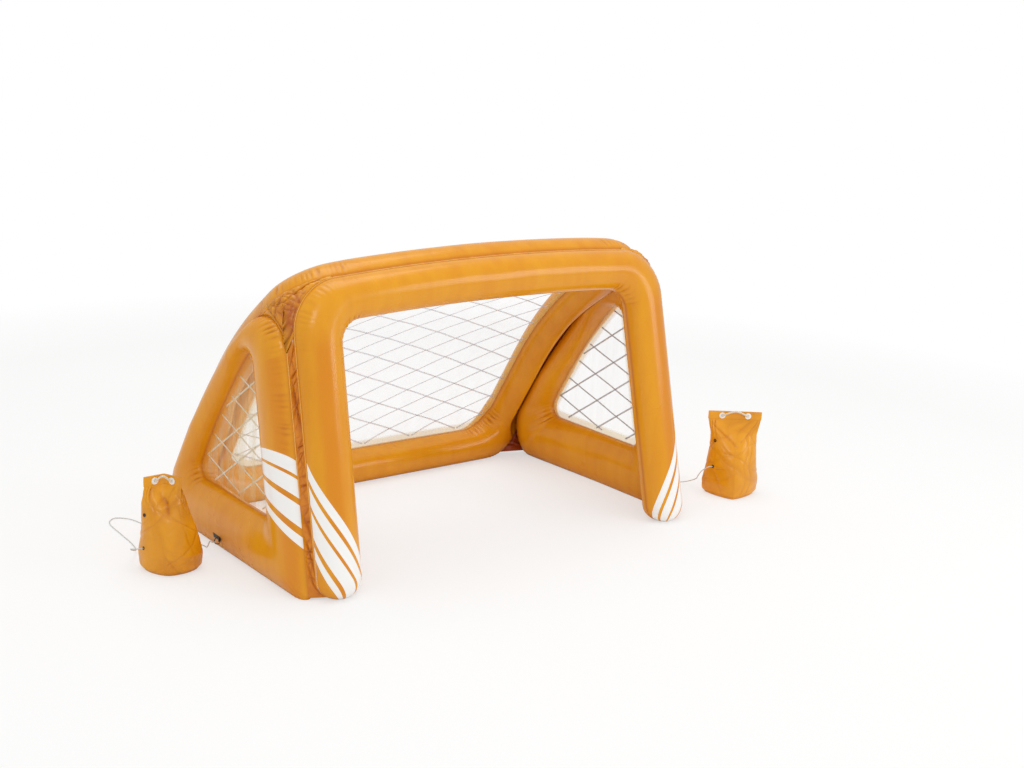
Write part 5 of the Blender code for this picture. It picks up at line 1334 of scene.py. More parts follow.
    def side_skin(self) -> ChamberSkin:
        """The right side chamber, from its front bottom corner up and round."""
        shape, sizes = self.shape, self.shape.sizes
        rear_line = shape.profile - shape.break_normals * sizes.rear_inset
        front_point = shape.front_origin[1:] + shape.backward[1:] * sizes.front_inset
        floor = (0, -sizes.floor_sink)
        front_bottom = line_meet(front_point, shape.up[1:], floor, (1, 0))
        top = line_meet(front_point, shape.up[1:], rear_line[1], shape.steps[0])
        rear_bottom = line_meet(rear_line[-2], shape.steps[-1], floor, (1, 0))
        front_arc = arc_at_corner(rear_bottom, front_bottom, top, sizes.side_front_bottom_radius,
                                  self.front_steps)
        top_arc = arc_at_corner(front_bottom, top, rear_line[1], sizes.side_top_radius, CORNER_STEPS)
        rear_arc = arc_at_corner(rear_line[-2], rear_bottom, front_bottom, sizes.side_rear_radius,
                                 self.rear_steps)
        window_front, window_top, window_edge, window_rear = self.window
        heel = len(shape.profile) - 1 - shape.heel_steps
        lines = WeldLines()
        half_way = (points_at([front_arc[-1], top_arc[0]], 0.5),
                    points_at([window_front[-1], window_top[0]], 0.5))
        lines.stretch("front_bottom", front_arc, window_front, steps=30, puckers=(0.5, 0.3))
        lines.straight("front", (front_arc[-1], window_front[-1]), half_way, steps=40, puckers=(0, 0.05))
        lines.straight("front_upper", half_way, (top_arc[0], window_top[0]), steps=60, puckers=(0, 0.6))
        lines.stretch("top", top_arc, window_top, steps=80, puckers=(0.8, 1.0))
        lines.stretch("rear", [top_arc[-1], *rear_line[1:heel]], window_edge, steps=90, puckers=(0.05, 0.15))
        lines.stretch("heel", [*rear_line[heel - 1:-1], *rear_arc], window_rear, steps=80, puckers=(0.7, 0.6))
        lines.straight("bottom", (rear_arc[-1], window_rear[-1]), (front_arc[0], window_front[0]),
                       steps=56, puckers=(0, 0))
        outer, inner, bend = lines.joined()
        width = np.linalg.norm(outer - inner, axis=1)
        half = np.minimum(sizes.side_thickness, sizes.side_thickness_share * width) / 2
        number = np.arange(len(outer))
        begun = eased((number - lines.first["top"] - self.fuller_from) / self.fuller_over)
        ended = eased((lines.first["bottom"] + self.fuller_to - number) / self.fuller_fade)
        gain = 1 + sizes.inner_bulge * (begun * ended)[:, None]

        def bulged(flat: Array, offset: Array) -> Array:
            """Places points with the inner half's offset enlarged."""
            return shape.on_side(flat, np.where(offset < 0, offset * gain, offset))

        rings, crease = inflate(outer, inner, bend, half, bulged, 3.0)
        angle = np.broadcast_to(ANGLES, crease.shape)
        rings = shape.pressed(rings, ((shape.front_seam, -1.0), (shape.rear_seam, -1.0)))
        level = np.broadcast_to(((outer - shape.front_origin[1:]) @ shape.up[1:])[:, None], crease.shape)
        return ChamberSkin(rings, crease, angle, level, rings[:, 0], inner, lines.first)

    def back_skin(self) -> ChamberSkin:
        """The back chamber's right half, from the middle of its top tube down to the floor tube's middle."""
        shape, sizes = self.shape, self.shape.sizes
        top_outer, top_inner = sizes.top_inset, sizes.back_top_width
        floor_outer = shape.breaks[-1]
        floor_inner = floor_outer - sizes.floor_sink - sizes.back_bottom_width
        half_outer = sizes.width_top / 2 - sizes.rear_inset
        half_inner = sizes.width_top / 2 - sizes.back_leg_width
        radius = sizes.back_inner_radius
        bar_end, leg_top, leg_end = half_inner - radius, top_inner + radius, floor_inner - radius
        top_arc = arc_at_corner((0, top_outer), (half_outer, top_outer), (half_outer, 1),
                                sizes.back_outer_top_radius, CORNER_STEPS)
        floor_arc = arc_at_corner((half_outer, 0), (half_outer, floor_outer), (0, floor_outer),
                                  sizes.back_outer_floor_radius, CORNER_STEPS)
        inner_top = arc_at_corner((0, top_inner), (half_inner, top_inner), (half_inner, 1),
                                  radius, CORNER_STEPS)
        inner_floor = arc_at_corner((half_inner, 0), (half_inner, floor_inner), (0, floor_inner),
                                    radius, CORNER_STEPS)
        top_middle, bar = (((x, top_outer), (x, top_inner)) for x in (0, bar_end))
        leg, leg_foot = (((half_outer, down), (half_inner, down)) for down in (leg_top, leg_end))
        floor_bar, floor_middle = (((x, floor_outer), (x, floor_inner)) for x in (bar_end, 0))
        lines = WeldLines()
        lines.straight("top_bar", top_middle, bar, steps=40, puckers=(0, 0.1))
        lines.stretch("top_corner", [bar[0], *top_arc, leg[0]], inner_top, steps=90, puckers=(0.8, 0.9))
        lines.straight("leg", leg, leg_foot, steps=80, puckers=(0.1, 0.1))
        lines.stretch("floor_corner", [leg_foot[0], *floor_arc, floor_bar[0]], inner_floor,
                      steps=100, puckers=(1.0, 0.6))
        lines.straight("floor_bar", floor_bar, floor_middle, steps=41, puckers=(0, 0))
        outer, inner, bend = lines.joined()
        on_arc = (outer[:, 0] >= half_outer - sizes.back_outer_top_radius - NEAR) & (
            outer[:, 1] <= top_outer + sizes.back_outer_top_radius + NEAR)
        arc = np.flatnonzero(on_arc)
        for line in (outer, inner):
            line[:, 0] *= shape.back_half_width(line[:, 1]) / (sizes.width_top / 2)
        half = np.full(len(outer), sizes.back_thickness / 2)
        rings, crease = inflate(outer, inner, bend, half, shape.on_back, 5.0)
        rings = shape.pressed(rings, ((shape.top_seam, -1.0), (shape.rear_seam, 1.0)))
        none = np.zeros(crease.shape)
        return ChamberSkin(rings, crease, none, none, rings[:, 0], inner, lines.first, arc)


def both_halves(values: Array) -> Array:
    """Joins a half's stations with their mirror images into one run from left to right.

    Args:
        values: Stations by angles, or by angles by three.

    Returns:
        The mirror image's stations in reverse, then the half's own, with the middle one once.
    """
    mirror = values[::-1]
    if values.ndim == 3:
        mirror = mirror * Side.LEFT.flip
    return np.concatenate([mirror[:-1], values])


@dataclass(frozen=True)
class PrintCurve:
    """How a printed band's level runs round the section.

    Attributes:
        slope: Rise of the level for each radian at the middle angle.
        bend: Its bend there.
        middle: The middle angle.
    """

    slope: float
    bend: float
    middle: float = 1.2

    def level(self, height: Array, angle: Array) -> Array:
        """Height at which the band through this point crosses the middle angle."""
        away = angle - self.middle
        return height + self.slope * away + self.bend * away ** 2


@dataclass(frozen=True)
class ShadeBand:
    """A broad band of painted shade along a tube, where it reflects less of the studio light.

    Attributes:
        strength: How far the colour goes over to the darker one.
        middle: Angle of the band's middle.
        half_width: Half of its width, as an angle.
    """

    strength: float
    middle: float
    half_width: float

    def at(self, angle: Array) -> Array:
        """Strength of the band at an angle."""
        return self.strength * np.exp(-((angle - self.middle) / self.half_width) ** 4)


def printed_face(angle: Array) -> Array:
    """Where a section's face can carry print: the outer half, from just past the weld."""
    return (angle < math.pi) & (angle > PRINT_START)


@dataclass(frozen=True)
class Chambers:
    """The four inflated chambers and their weld lines.

    Attributes:
        panels: The surfaces.
        palette: The finishes.
    """

    panels: GoalPanels
    palette: Palette

    arch_print = PrintCurve(0.110, 0.0)
    side_print = PrintCurve(0.0235, 0.0248)
    right_print_drop = 0.028
    arch_shade = ShadeBand(0.75, 1.35, 0.42)
    side_shade = ShadeBand(0.7, 0.75, 0.38)
    # Stations over which the arch's band of painted shade begins
    shade_start = 24
    bead_around = 8
    bead_end_height = 0.03
    arch_bead_radius = 0.0013
    arch_bead_lift = 0.0012
    side_bead_radius = 0.0012

    def build(self) -> None:
        """Makes the chambers and the thin beads along their welds."""
        self.arch()
        for side in Side:
            self.side(side)
        self.back()
        self.welds()

    def arch(self) -> None:
        """The front arch, closed at both feet."""
        skin = self.panels.arch
        points = self.panels.shape.placed(both_halves(skin.points))
        level = self.arch_print.level(skin.level, skin.angle)
        face = np.where(printed_face(skin.angle), 1.0, -1.0)
        print_level = both_halves(level)
        print_level[len(level) - 1:] += self.right_print_drop
        # Painted shade: a broad darker band down the legs, where they reflect less of the studio light
        down = (np.arange(len(level)) - skin.first["leg"])[:, None] / self.shade_start
        shade = np.clip(down + 1, 0, 1) * self.arch_shade.at(skin.angle)
        values = {"crease": both_halves(skin.crease), "print_level": print_level,
                  "print_face": both_halves(face), "shade": both_halves(shade)}
        sheet = Sheet(points, values, wrap_columns=True, first_pole=True, last_pole=True)
        add_piece("arch_skin", [sheet], self.palette.arch, Slot.VINYL, Body.GOAL, "front_arch_chamber")

    def side(self, side: Side) -> None:
        """A side chamber.

        Args:
            side: Which side.
        """
        skin = self.panels.side
        points = self.panels.shape.placed(skin.points * side.flip)
        level = self.side_print.level(skin.level, skin.angle)
        in_front = (np.arange(len(skin.points)) < skin.first["top"])[:, None]
        face = np.where(in_front & printed_face(skin.angle), 1.0, -1.0)
        # Painted shade: a broad darker band along the front, where it reflects less of the studio light
        shade = in_front * self.side_shade.at(skin.angle)
        values = {"crease": skin.crease, "print_level": level, "print_face": face, "shade": shade}
        sheet = Sheet(points, values, wrap_rows=True, wrap_columns=True)
        add_piece(f"{side.word}_side_skin", [sheet], self.palette.side, Slot.VINYL, Body.GOAL,
                  f"{side.word}_side_chamber")

    def back(self) -> None:
        """The back frame: both halves as one closed ring."""
        skin = self.panels.back
        run = both_halves(skin.points)[:-1]
        values = {"crease": both_halves(skin.crease)[:-1]}
        sheet = Sheet(self.panels.shape.placed(run), values, wrap_rows=True, wrap_columns=True)
        add_piece("back_skin", [sheet], self.palette.back, Slot.VINYL, Body.GOAL, "back_frame_chamber")

    def welds(self) -> None:
        """Thin raised beads along the outer welds, where the sheets' edges stand out of the seams."""
        # The beads' paler finish is a painted highlight along the raised weld edges
        placed = self.panels.shape.placed
        arch = both_halves(self.panels.arch.weld_outer[:, None])[:, 0]
        arch = arch[arch[:, 2] > self.bead_end_height]
        beads = [tube(placed(arch + self.arch_bead_lift * UPRIGHT), self.arch_bead_radius, self.bead_around)]
        for side in Side:
            line = self.panels.side.weld_outer
            line = line[line[:, 2] > self.bead_end_height] * side.flip
            line = line[self.panels.side.first["front"]:self.panels.side.first["rear"]]
            beads.append(tube(placed(line), self.side_bead_radius, self.bead_around))
        for sheet in beads:
            sheet.values["crease"] = np.zeros(sheet.points.shape[:2])
        add_piece("weld_beads", beads, self.palette.weld, Slot.VINYL, Body.GOAL)


@dataclass(frozen=True)
class Webs:
    """Crinkled strips along the seams, and the crumpled patches where three chambers meet.

    Attributes:
        panels: The surfaces.
        palette: The finishes.
    """

    panels: GoalPanels
    palette: Palette

    wall = 0.0004
    web_end_height = 0.006
    floor_gusset_end_height = 0.005
    # Stations by which a floor gusset overlaps the rear web above it
    overlap = 3
    # Strips: points across, pitch of the folds, even sag as a share of their depth, how steeply they
    # start at the welds, and the distance over which they fade at the ends
    across_points, strip_pitch, sag, edge_power, end_fade = 15, 0.021, 0.35, 0.7, 0.02
    # Top gussets: rings, smallest ring, direction and height of the puff, how steeply it rises, and
    # its height above the weld lines
    rings, last_ring = 44, 0.04
    puff_way, puff, puff_power, stand_out = (1.0, -0.25, 0.9), 0.042, 0.6, 0.0008
    # Their folds: pitch, depth, darkness of painted shade and seed of the broad and the fine ones, and the
    # share of the patch over which they start
    broad_pitch, broad_depth, broad_dark, broad_seed = 0.027, 0.008, 0.40, 4.4
    fine_pitch, fine_depth, fine_dark, fine_seed = 0.0125, 0.0042, 0.25, 2.6
    fold_start = 0.12
    # The hollow between arch and side: its place on the arch's arc, its reach, depth and painted shade
    hollow_place, hollow_reach, hollow_depth, hollow_dark = 0.72, 0.052, 0.014, 0.6

    def strip(self, edge_a: Array, edge_b: Array, rows: int, depth: float, seed: float) -> Sheet:
        """A crinkled strip between two weld lines.

        Points run straight across at equal shares of both lines. They sink along the strip's normal by
        a shallow sag and by crumpled folds, both of which fade to nothing at the welds.

        Args:
            edge_a: One weld line.
            edge_b: The other weld line.
            rows: Number of points along it.
            depth: Depth of the folds.
            seed: Makes one strip differ from another.

        Returns:
            The strip in the goal's own frame.
        """
        shares, across = np.linspace(0, 1, rows), np.linspace(0, 1, self.across_points)
        line_a, line_b = points_at(edge_a, shares), points_at(edge_b, shares)
        span = line_b - line_a
        flat = line_a[:, None] + span[:, None] * across[None, :, None]
        run = np.gradient((line_a + line_b) / 2, axis=0)
        normal = unit(np.cross(run, span))
        normal = normal * np.sign(np.sum(normal * (flat.mean(1) - MIDDLE), -1, keepdims=True))
        along = (shares * lengths_along(line_a)[-1])[:, None]
        wide = np.linalg.norm(span, axis=1)[:, None] * across[None]
        fold = crumple(along + 0 * wide, wide, self.strip_pitch, seed)
        ends = np.clip(np.minimum(along, along[-1] - along) / self.end_fade, 0, 1)
        fade = (4 * across * (1 - across))[None] ** self.edge_power * ends
        sunk = (self.sag * depth + depth * fold) * fade
        points = flat - normal[:, None] * sunk[..., None]
        # Painted shade in the folds
        return Sheet(points, {"crease": fold * fade})

    def gusset(self, loop: Array, side: Side) -> Sheet:
        """A puffed, crumpled patch inside a loop of weld line points.

        Rings shrink from the loop to its centre. A ring's lift is the puff times a power of one minus the
        square of its share, less the folds and the hollow, both of which carry painted shade.

        Args:
            loop: Points round the patch on the right side.
            side: Which side of the goal it is for. The folds differ.

        Returns:
            The patch in the goal's own frame, turned to the right side.
        """
        loop = loop * side.flip
        centre = loop.mean(0)
        outward = unit(np.array(self.puff_way) * side.flip)
        share = np.linspace(1.0, self.last_ring, self.rings)[:, None]
        flat = centre + (loop - centre)[None] * share[..., None]
        local = flat - centre
        first = unit(np.cross(outward, (0.0, 1.0, 0.0)))
        second = np.cross(outward, first)
        a, b = local @ first * side.value, local @ second
        broad = crumple(a, b, self.broad_pitch, self.broad_seed)
        fine = crumple(a, b, self.fine_pitch, self.fine_seed)
        fade = np.clip((1 - share) / self.fold_start, 0, 1)
        folds = (self.broad_depth * broad + self.fine_depth * fine) * fade
        lift = self.puff * (1 - share ** 2) ** self.puff_power - folds + self.stand_out
        points = flat + outward * lift[..., None]
        hollow_at = loop[round(self.hollow_place * len(self.panels.arch.arc))]
        hollow = np.exp(-(np.linalg.norm(flat - hollow_at, axis=-1) / self.hollow_reach) ** 2)
        points = points - outward * (self.hollow_depth * hollow * fade)[..., None]
        # Painted shade in the folds and in the hollow
        dark = (self.broad_dark * broad + self.fine_dark * fine) * fade
        crease = np.clip(dark + hollow * (self.hollow_dark + broad), 0, 1)
        return Sheet(points * side.flip, {"crease": crease}, wrap_columns=True, last_pole=True)

    def add(self, side: Side, name: str, sheet: Sheet, finish: bpy.types.Material, node: str) -> None:
        """Makes a piece of a sheet that was worked out for the right side, with a thin wall.

        Args:
            side: Which side of the goal it is for.
            name: The piece's name.
            sheet: Its surface.
            finish: Its material.
            node: The node that it replaces.
        """
        sheet.points = self.panels.shape.placed(sheet.points * side.flip)
        sheet.turned = side is Side.LEFT
        piece = add_piece(name, [sheet], finish, Slot.WEB, Body.GOAL, node)
        wall = piece.modifiers.new("wall", "SOLIDIFY")
        wall.thickness = self.wall
        wall.offset = 0.0

    def build(self) -> None:
        """Makes every web and gusset."""
        panels, palette = self.panels, self.palette
        arch, side, back = panels.arch.weld_outer, panels.side.weld_outer, panels.back.weld_outer
        first = panels.side.first
        arch_leg = part_above(arch[panels.arch.arc[-1]:], self.web_end_height)
        side_front = part_above(side[4:first["top"] + 1][::-1], self.web_end_height)
        side_arc = side[first["top"]:first["rear"] + 1]
        side_down = side[first["rear"]:first["bottom"] + 1]
        back_down = back[panels.back.arc[-1]:]
        heel_z = panels.shape.profile[-2 - panels.shape.heel_steps, 1]
        rear_a, rear_b = part_above(side_down, heel_z), part_above(back_down, heel_z)
        floor_a, floor_b = (part_above(down[len(rear) - self.overlap:], self.floor_gusset_end_height)
                            for down, rear in ((side_down, rear_a), (back_down, rear_b)))
        loop = np.concatenate([arch[panels.arch.arc], side_arc, back[panels.back.arc][::-1]])
        for which in Side:
            front = self.strip(arch_leg, side_front, rows=420, depth=0.0085, seed=1.1)
            rear = self.strip(rear_a, rear_b, rows=300, depth=0.0030, seed=2.3)
            floor = self.strip(floor_a, floor_b, rows=160, depth=0.0100, seed=3.7)
            top = self.gusset(loop, which)
            plans = (("front_web", front, palette.web), ("rear_web", rear, palette.web),
                     ("floor_gusset", floor, palette.patch), ("top_gusset", top, palette.puff))
            for label, sheet, finish in plans:
                name = f"{which.word}_{label}"
                self.add(which, f"{name}_sheet", sheet, finish, name)
        bar_a, bar_b = (both_halves(weld[:arc[0] + 1][:, None])[:, 0]
                        for weld, arc in ((arch, panels.arch.arc), (back, panels.back.arc)))
        top = self.strip(bar_a, bar_b, rows=420, depth=0.0030, seed=5.9)
        self.add(Side.RIGHT, "top_web_sheet", top, palette.web, "top_web")


@dataclass(frozen=True)
class NetPattern:
    """The printed net: rhombi between two families of lines.

    Attributes:
        node: A crossing of two lines on the flat panel.
        half_long: Half of a rhombus's long diagonal.
        half_short: Half of its short diagonal.
        turn: Turn of the pattern on the panel.
        line_width: Width of a line.
        margin: Free edge along the weld line.
    """

    node: tuple[float, float]
    half_long: float = 0.090
    half_short: float = 0.0432
    turn: float = 0.0
    line_width: float = 0.005
    margin: float = 0.012

    def steps(self) -> tuple[Array, Array]:
        """The two steps from a crossing to its neighbours."""
        cos, sin = math.cos(self.turn), math.sin(self.turn)
        long_half = self.half_long * np.array((cos, sin))
        short_half = self.half_short * np.array((-sin, cos))
        return long_half + short_half, long_half - short_half


class Window:
    """A closed window: its clear film and the net printed on it."""

    # Ripples: where they are full, how steeply they start, their depth, and their share, waves one way
    # and the other way and factor of the seed
    ripple_start, ripple_power, ripple_depth = 0.06, 1.5, 0.0012
    ripples = ((0.6, 34, 21, 1), (0.4, -19, 47, 2))
    # Shorter edges of the outline are left out
    least_edge = 1e-7
    # Distance of the first and the last row from the outline's ends
    end_gap = 1e-5
    # A line that runs along an edge at less than this rate doesn't cross it
    least_rate = 1e-9
    # Shorter lines, in steps of the net, are left out
    least_line = 0.1
    # Lines each way from the first crossing, and the gap between a line's points
    line_reach = 24
    point_gap = 0.010
    # Height of each family of lines above the film, and their thickness
    ink_lifts = (0.0006, 0.0009)
    ink_thickness = 0.0002

    def __init__(self, outline: Array, place: Place, net: NetPattern, seed: float) -> None:
        """Keeps the outline, anticlockwise or clockwise, and works out its edges' inward normals.

        Args:
            outline: Convex outline on the flat panel.
            place: Puts flat points and their offset into space.
            net: The net pattern.
            seed: Makes one film's ripples differ from another's.
        """
        following = np.roll(outline, -1, axis=0)
        run = following - outline
        keep = np.linalg.norm(run, axis=1) > self.least_edge
        self.outline, run = outline[keep], run[keep]
        after = np.roll(self.outline, -1, axis=0)
        area = np.sum(self.outline[:, 0] * after[:, 1] - after[:, 0] * self.outline[:, 1])
        self.inward = unit(np.stack([-run[:, 1], run[:, 0]], 1)) * np.sign(area)
        self.place = place
        self.net = net
        self.seed = seed

    def rim_distance(self, flat: Array) -> Array:
        """Distance of flat points from the nearest edge of the window."""
        return np.min(flat @ self.inward.T - np.sum(self.outline * self.inward, 1), -1)

    def ripple(self, flat: Array) -> Array:
        """Offset of the film from its panel: slow slanted waves that fade at the rim."""
        fade = np.clip(self.rim_distance(flat) / self.ripple_start, 0, 1) ** self.ripple_power
        a, b = flat[..., 0], flat[..., 1]
        wave = sum(share * np.sin(one * a + other * b + lag * self.seed)
                   for share, one, other, lag in self.ripples)
        return self.ripple_depth * fade * wave

    def film(self, rows: int, columns: int) -> Sheet:
        """The film as a grid: level rows from edge to edge of the outline.

        Args:
            rows: Number of rows.
            columns: Number of points in a row.

        Returns:
            The film in the goal's own frame.
        """
        level = self.outline[:, 1]
        turned = np.roll(self.outline, -int(np.argmin(level)), axis=0)
        turned = np.concatenate([turned, turned[:1]])
        high = int(np.argmax(turned[:, 1]))
        share = (1 - np.cos(math.pi * np.linspace(0, 1, rows))) / 2
        heights = level.min() + self.end_gap + (level.max() - level.min() - 2 * self.end_gap) * share
        one = np.interp(heights, turned[:high + 1, 1], turned[:high + 1, 0])
        other = np.interp(heights, turned[high:, 1][::-1], turned[high:, 0][::-1])
        across = np.linspace(0, 1, columns)[None]
        level_rows = np.repeat(heights[:, None], columns, 1)
        flat = np.stack([one[:, None] + (other - one)[:, None] * across, level_rows], -1)
        return Sheet(self.place(flat, self.ripple(flat)), {"rim": self.rim_distance(flat)})

    def clipped(self, point: Array, step: Array) -> tuple[float, float] | None:
        """Range of a line's parameter inside the outline, less the free edge.

        Args:
            point: A point of the line.
            step: Its direction and unit.

        Returns:
            Lowest and highest parameter, or nothing where the line misses.
        """
        rate = self.inward @ step
        distance = np.sum((point - self.outline) * self.inward, 1) - self.net.margin
        with np.errstate(divide="ignore", invalid="ignore"):
            crossing = -distance / rate
        low = np.max(crossing[rate > self.least_rate], initial=-math.inf)
        high = np.min(crossing[rate < -self.least_rate], initial=math.inf)
        return (float(low), float(high)) if high - low > self.least_line else None

    def bars(self, inside: float) -> list[Sheet]:
        """Each printed line as a thin bar that follows the film.

        Args:
            inside: Sign of the side of the film that carries the print.

        Returns:
            One sheet for each line, in the goal's own frame.
        """
        first, second = self.net.steps()
        made = []
        for lift, step, other in zip(self.ink_lifts, (first, second), (second, first)):
            for number in range(-self.line_reach, self.line_reach + 1):
                point = np.array(self.net.node) + number * other
                span = self.clipped(point, step)
                if span is None:
                    continue
                start, end = point + span[0] * step, point + span[1] * step
                count = max(3, int(np.linalg.norm(end - start) / self.point_gap))
                centre = start + (end - start) * np.linspace(0, 1, count)[:, None]
                side = unit(np.array((-step[1], step[0]))) * self.net.line_width / 2
                flat = np.stack([centre - side, centre + side, centre + side, centre - side], 1)
                top = lift + self.ink_thickness
                offset = inside * np.array((lift, lift, top, top))
                points = self.place(flat, self.ripple(flat) + offset[None])
                made.append(Sheet(points, wrap_columns=True, first_pole=True, last_pole=True))
        return made


class Windows:
    """The three closed windows."""

    def __init__(self, panels: GoalPanels, palette: Palette) -> None:
        """Works out the three windows from the chambers' inner weld lines.

        Args:
            panels: The surfaces.
            palette: The finishes.
        """
        self.palette = palette
        self.shape = panels.shape
        half = panels.back.weld_inner
        outline = np.concatenate([half, (half * np.array((-1.0, 1.0)))[-2:0:-1]])
        self.back = Window(outline, panels.shape.on_back, NetPattern((0.0, 0.4142)), 0.6)
        side_net = NetPattern((0.0311, 0.3457), turn=math.radians(-8.5))
        self.side = Window(panels.side.weld_inner, panels.shape.on_side, side_net, 2.2)

    def add(self, word: str, flip: Array, window: Window, grid: tuple[int, int], film: bpy.types.Material,
            net: bpy.types.Material) -> None:
        """Makes one window's film and its print.

        Args:
            word: The window's name in piece names.
            flip: Turns the window to its side.
            window: The window.
            grid: Rows and columns of the film.
            film: The film's finish.
            net: The print's finish.
        """
        sheet, lines = window.film(*grid), window.bars(-1.0)
        for made in (sheet, *lines):
            made.points = self.shape.placed(made.points * flip)
        add_piece(f"{word}_film_sheet", [sheet], film, Slot.FILM, Body.GOAL, f"{word}_net_film")
        add_piece(f"{word}_net_lines", lines, net, Slot.NET, Body.GOAL, f"{word}_net_print")

    def build(self) -> None:
        """Makes the films and the prints."""
        palette = self.palette
        self.add("back", Side.RIGHT.flip, self.back, (110, 140), palette.film, palette.net)
        for side in Side:
            self.add(side.word, side.flip, self.side, (90, 70), palette.side_film[side],
                     palette.side_net[side])


# Bags and cords

@dataclass(frozen=True)
class Crease:
    """A sharp crease on a bag's face.

    Attributes:
        start: Where it begins: x across the face, and height.
        end: Where it ends.
        depth: Depth, or height where it is below nought.
        width: Distance from its line at which it has faded to about a third.
        dark: Darkness of the painted shade along its line.
    """

    start: tuple[float, float]
    end: tuple[float, float]
    depth: float = 0.0030
    width: float = 0.0045
    dark: float = 0.35


@dataclass(frozen=True)
class Bag:
    """A ballast bag: a sagging skin under a flat, hemmed header.

    Attributes:
        side: Which side of the goal it stands on.
        body: The body that carries it.
        place: Middle of its base in the goal's own frame.
        turn: Turn about the vertical.
        levels: Height, width, depth, power of the outline, fold of the header and shift, from base to top.
        eyelets: Middle and outward direction of the two header eyelets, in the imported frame.
        creases: Creases on the face.
        pleats: Depth of the pleats under the header.
        seed: Makes one bag's folds differ from the other's.
        fill: Height of the water.
        around: Number of points round the bag.
    """

    side: Side
    body: Body
    place: tuple[float, float]
    turn: float
    levels: tuple[tuple[float, ...], ...]
    eyelets: tuple[tuple[Colour, Colour], ...]
    creases: tuple[Crease, ...]
    pleats: float
    seed: float
    fill: float
    around: int = 160

    # The levels are smoothed over this many steps of this height on either side
    smooth_steps, smooth_step = 7, 0.001
    # Keeps an outward direction finite where the outline's points coincide
    least_length = 1e-9
    # Skin: rows below and on the header, gap at both ends, where creases start on the face and its sides
    skin_rows, header_rows, end_gap = 150, 12, 0.0006
    front_start, header_fade, base_fade = 0.02, 0.05, 0.02
    # Pleats under the header: how far they reach down, where they start, their pitch
    throat_height, throat_start, pleat_pitch = 0.045, 0.006, 0.026
    # Their girth, how far they sway and over which waves, and the darkness of their painted shade
    pleat_girth, pleat_sway, pleat_sway_waves, pleat_dark = 0.42, 0.02, 40, 0.9
    # Crumples: girth that they are laid out on, pitch, depth and darkness of their painted shade
    crumple_girth, crumple_pitch, crumple_depth, crumple_dark = 0.45, 0.040, 0.0028, 0.45
    # Unevenness: depth, and stretch round and up the bag
    swell_depth, swell_round, swell_up = 0.0012, 2.0, 8
    # A crease's line of painted shade is this share of its width
    dark_share = 0.6
    # Water: gap to the skin, its first heights, its rows
    water_gap, water_base, water_start, water_rows = 0.013, (0.010, 0.014), 0.022, 40
    # Hem: rows, how far it stands out, depth and place of the two pressed lines
    hem_rows, hem_out, hem_inner_out, hem_low_gap, hem_high_gap = 22, 0.0012, 0.0003, 0.002, 0.0003
    hem_line_depth, hem_line_places, hem_line_width = 0.0004, (0.12, 0.88), 0.03
    # Handle: cord radius, points, how far it runs in and out of an eyelet, and the bow's way out and up
    handle_radius, handle_around, handle_points = 0.0029, 12, 60
    handle_in, handle_out, bow_out, bow_up = 0.008, 0.0065, 0.012, 0.016
    # Knots: radius, its swelling, rows, points round, first angle from the pole, length over the pole
    knot_radius, knot_swell, knot_rows, knot_around, knot_end, knot_along = 0.0046, 0.13, 14, 20, 0.08, 0.004

    def table(self, heights: Array) -> Array:
        """The bag's measures at given heights: the levels joined by straight lines, then smoothed.

        Args:
            heights: Heights above the floor.

        Returns:
            One row for each height: width, depth, power, fold, shift.
        """
        given = np.array(self.levels)
        fine = np.arange(0.0, given[-1, 0] + self.smooth_step, self.smooth_step)
        kernel = np.exp(-np.linspace(-2, 2, 2 * self.smooth_steps + 1) ** 2)
        kernel /= kernel.sum()
        columns = []
        for column in given.T[1:]:
            drawn = np.pad(np.interp(fine, given[:, 0], column), self.smooth_steps, mode="edge")
            columns.append(np.interp(heights, fine, np.convolve(drawn, kernel, "valid")))
        return np.stack(columns, 1)

    def outline(self, heights: Array, grow: float) -> tuple[Array, Array]:
        """Outlines of the bag: a rounded box whose power sets how square it is.

        Args:
            heights: One height for each row.
            grow: Distance by which the outline is larger all round.

        Returns:
            Points in the bag's own frame, rows by columns by three, and their outward directions.
        """
        width, depth, power, fold, shift = (column[:, None] for column in self.table(heights).T)
        angle = (np.arange(self.around) * 2 * math.pi / self.around)[None]
        cos, sin = np.cos(angle), np.sin(angle)
        x = (width / 2 + grow) * np.sign(cos) * np.abs(cos) ** (2 / power)
        y = (depth / 2 + grow) * np.sign(sin) * np.abs(sin) ** (2 / power)
        y = y + fold * (0.5 - np.abs(x) / (width / 2))
        points = np.stack([x + shift, y, heights[:, None] + 0 * x], -1)
        run = np.roll(points, -1, axis=1) - np.roll(points, 1, axis=1)
        normal = np.stack([run[..., 1], -run[..., 0], 0 * x], -1)
        length = np.linalg.norm(normal, axis=-1, keepdims=True)
        return points, normal / np.maximum(length, self.least_length)

    def placed(self, points: Array) -> Array:
        """Points of the bag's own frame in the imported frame."""
        cos, sin = math.cos(self.turn), math.sin(self.turn)
        x, y, z = (points[..., k] for k in range(3))
        across, back = cos * x - sin * y + self.place[0], sin * x + cos * y + self.place[1]
        return np.stack([across, back, z], -1) + ORIGIN

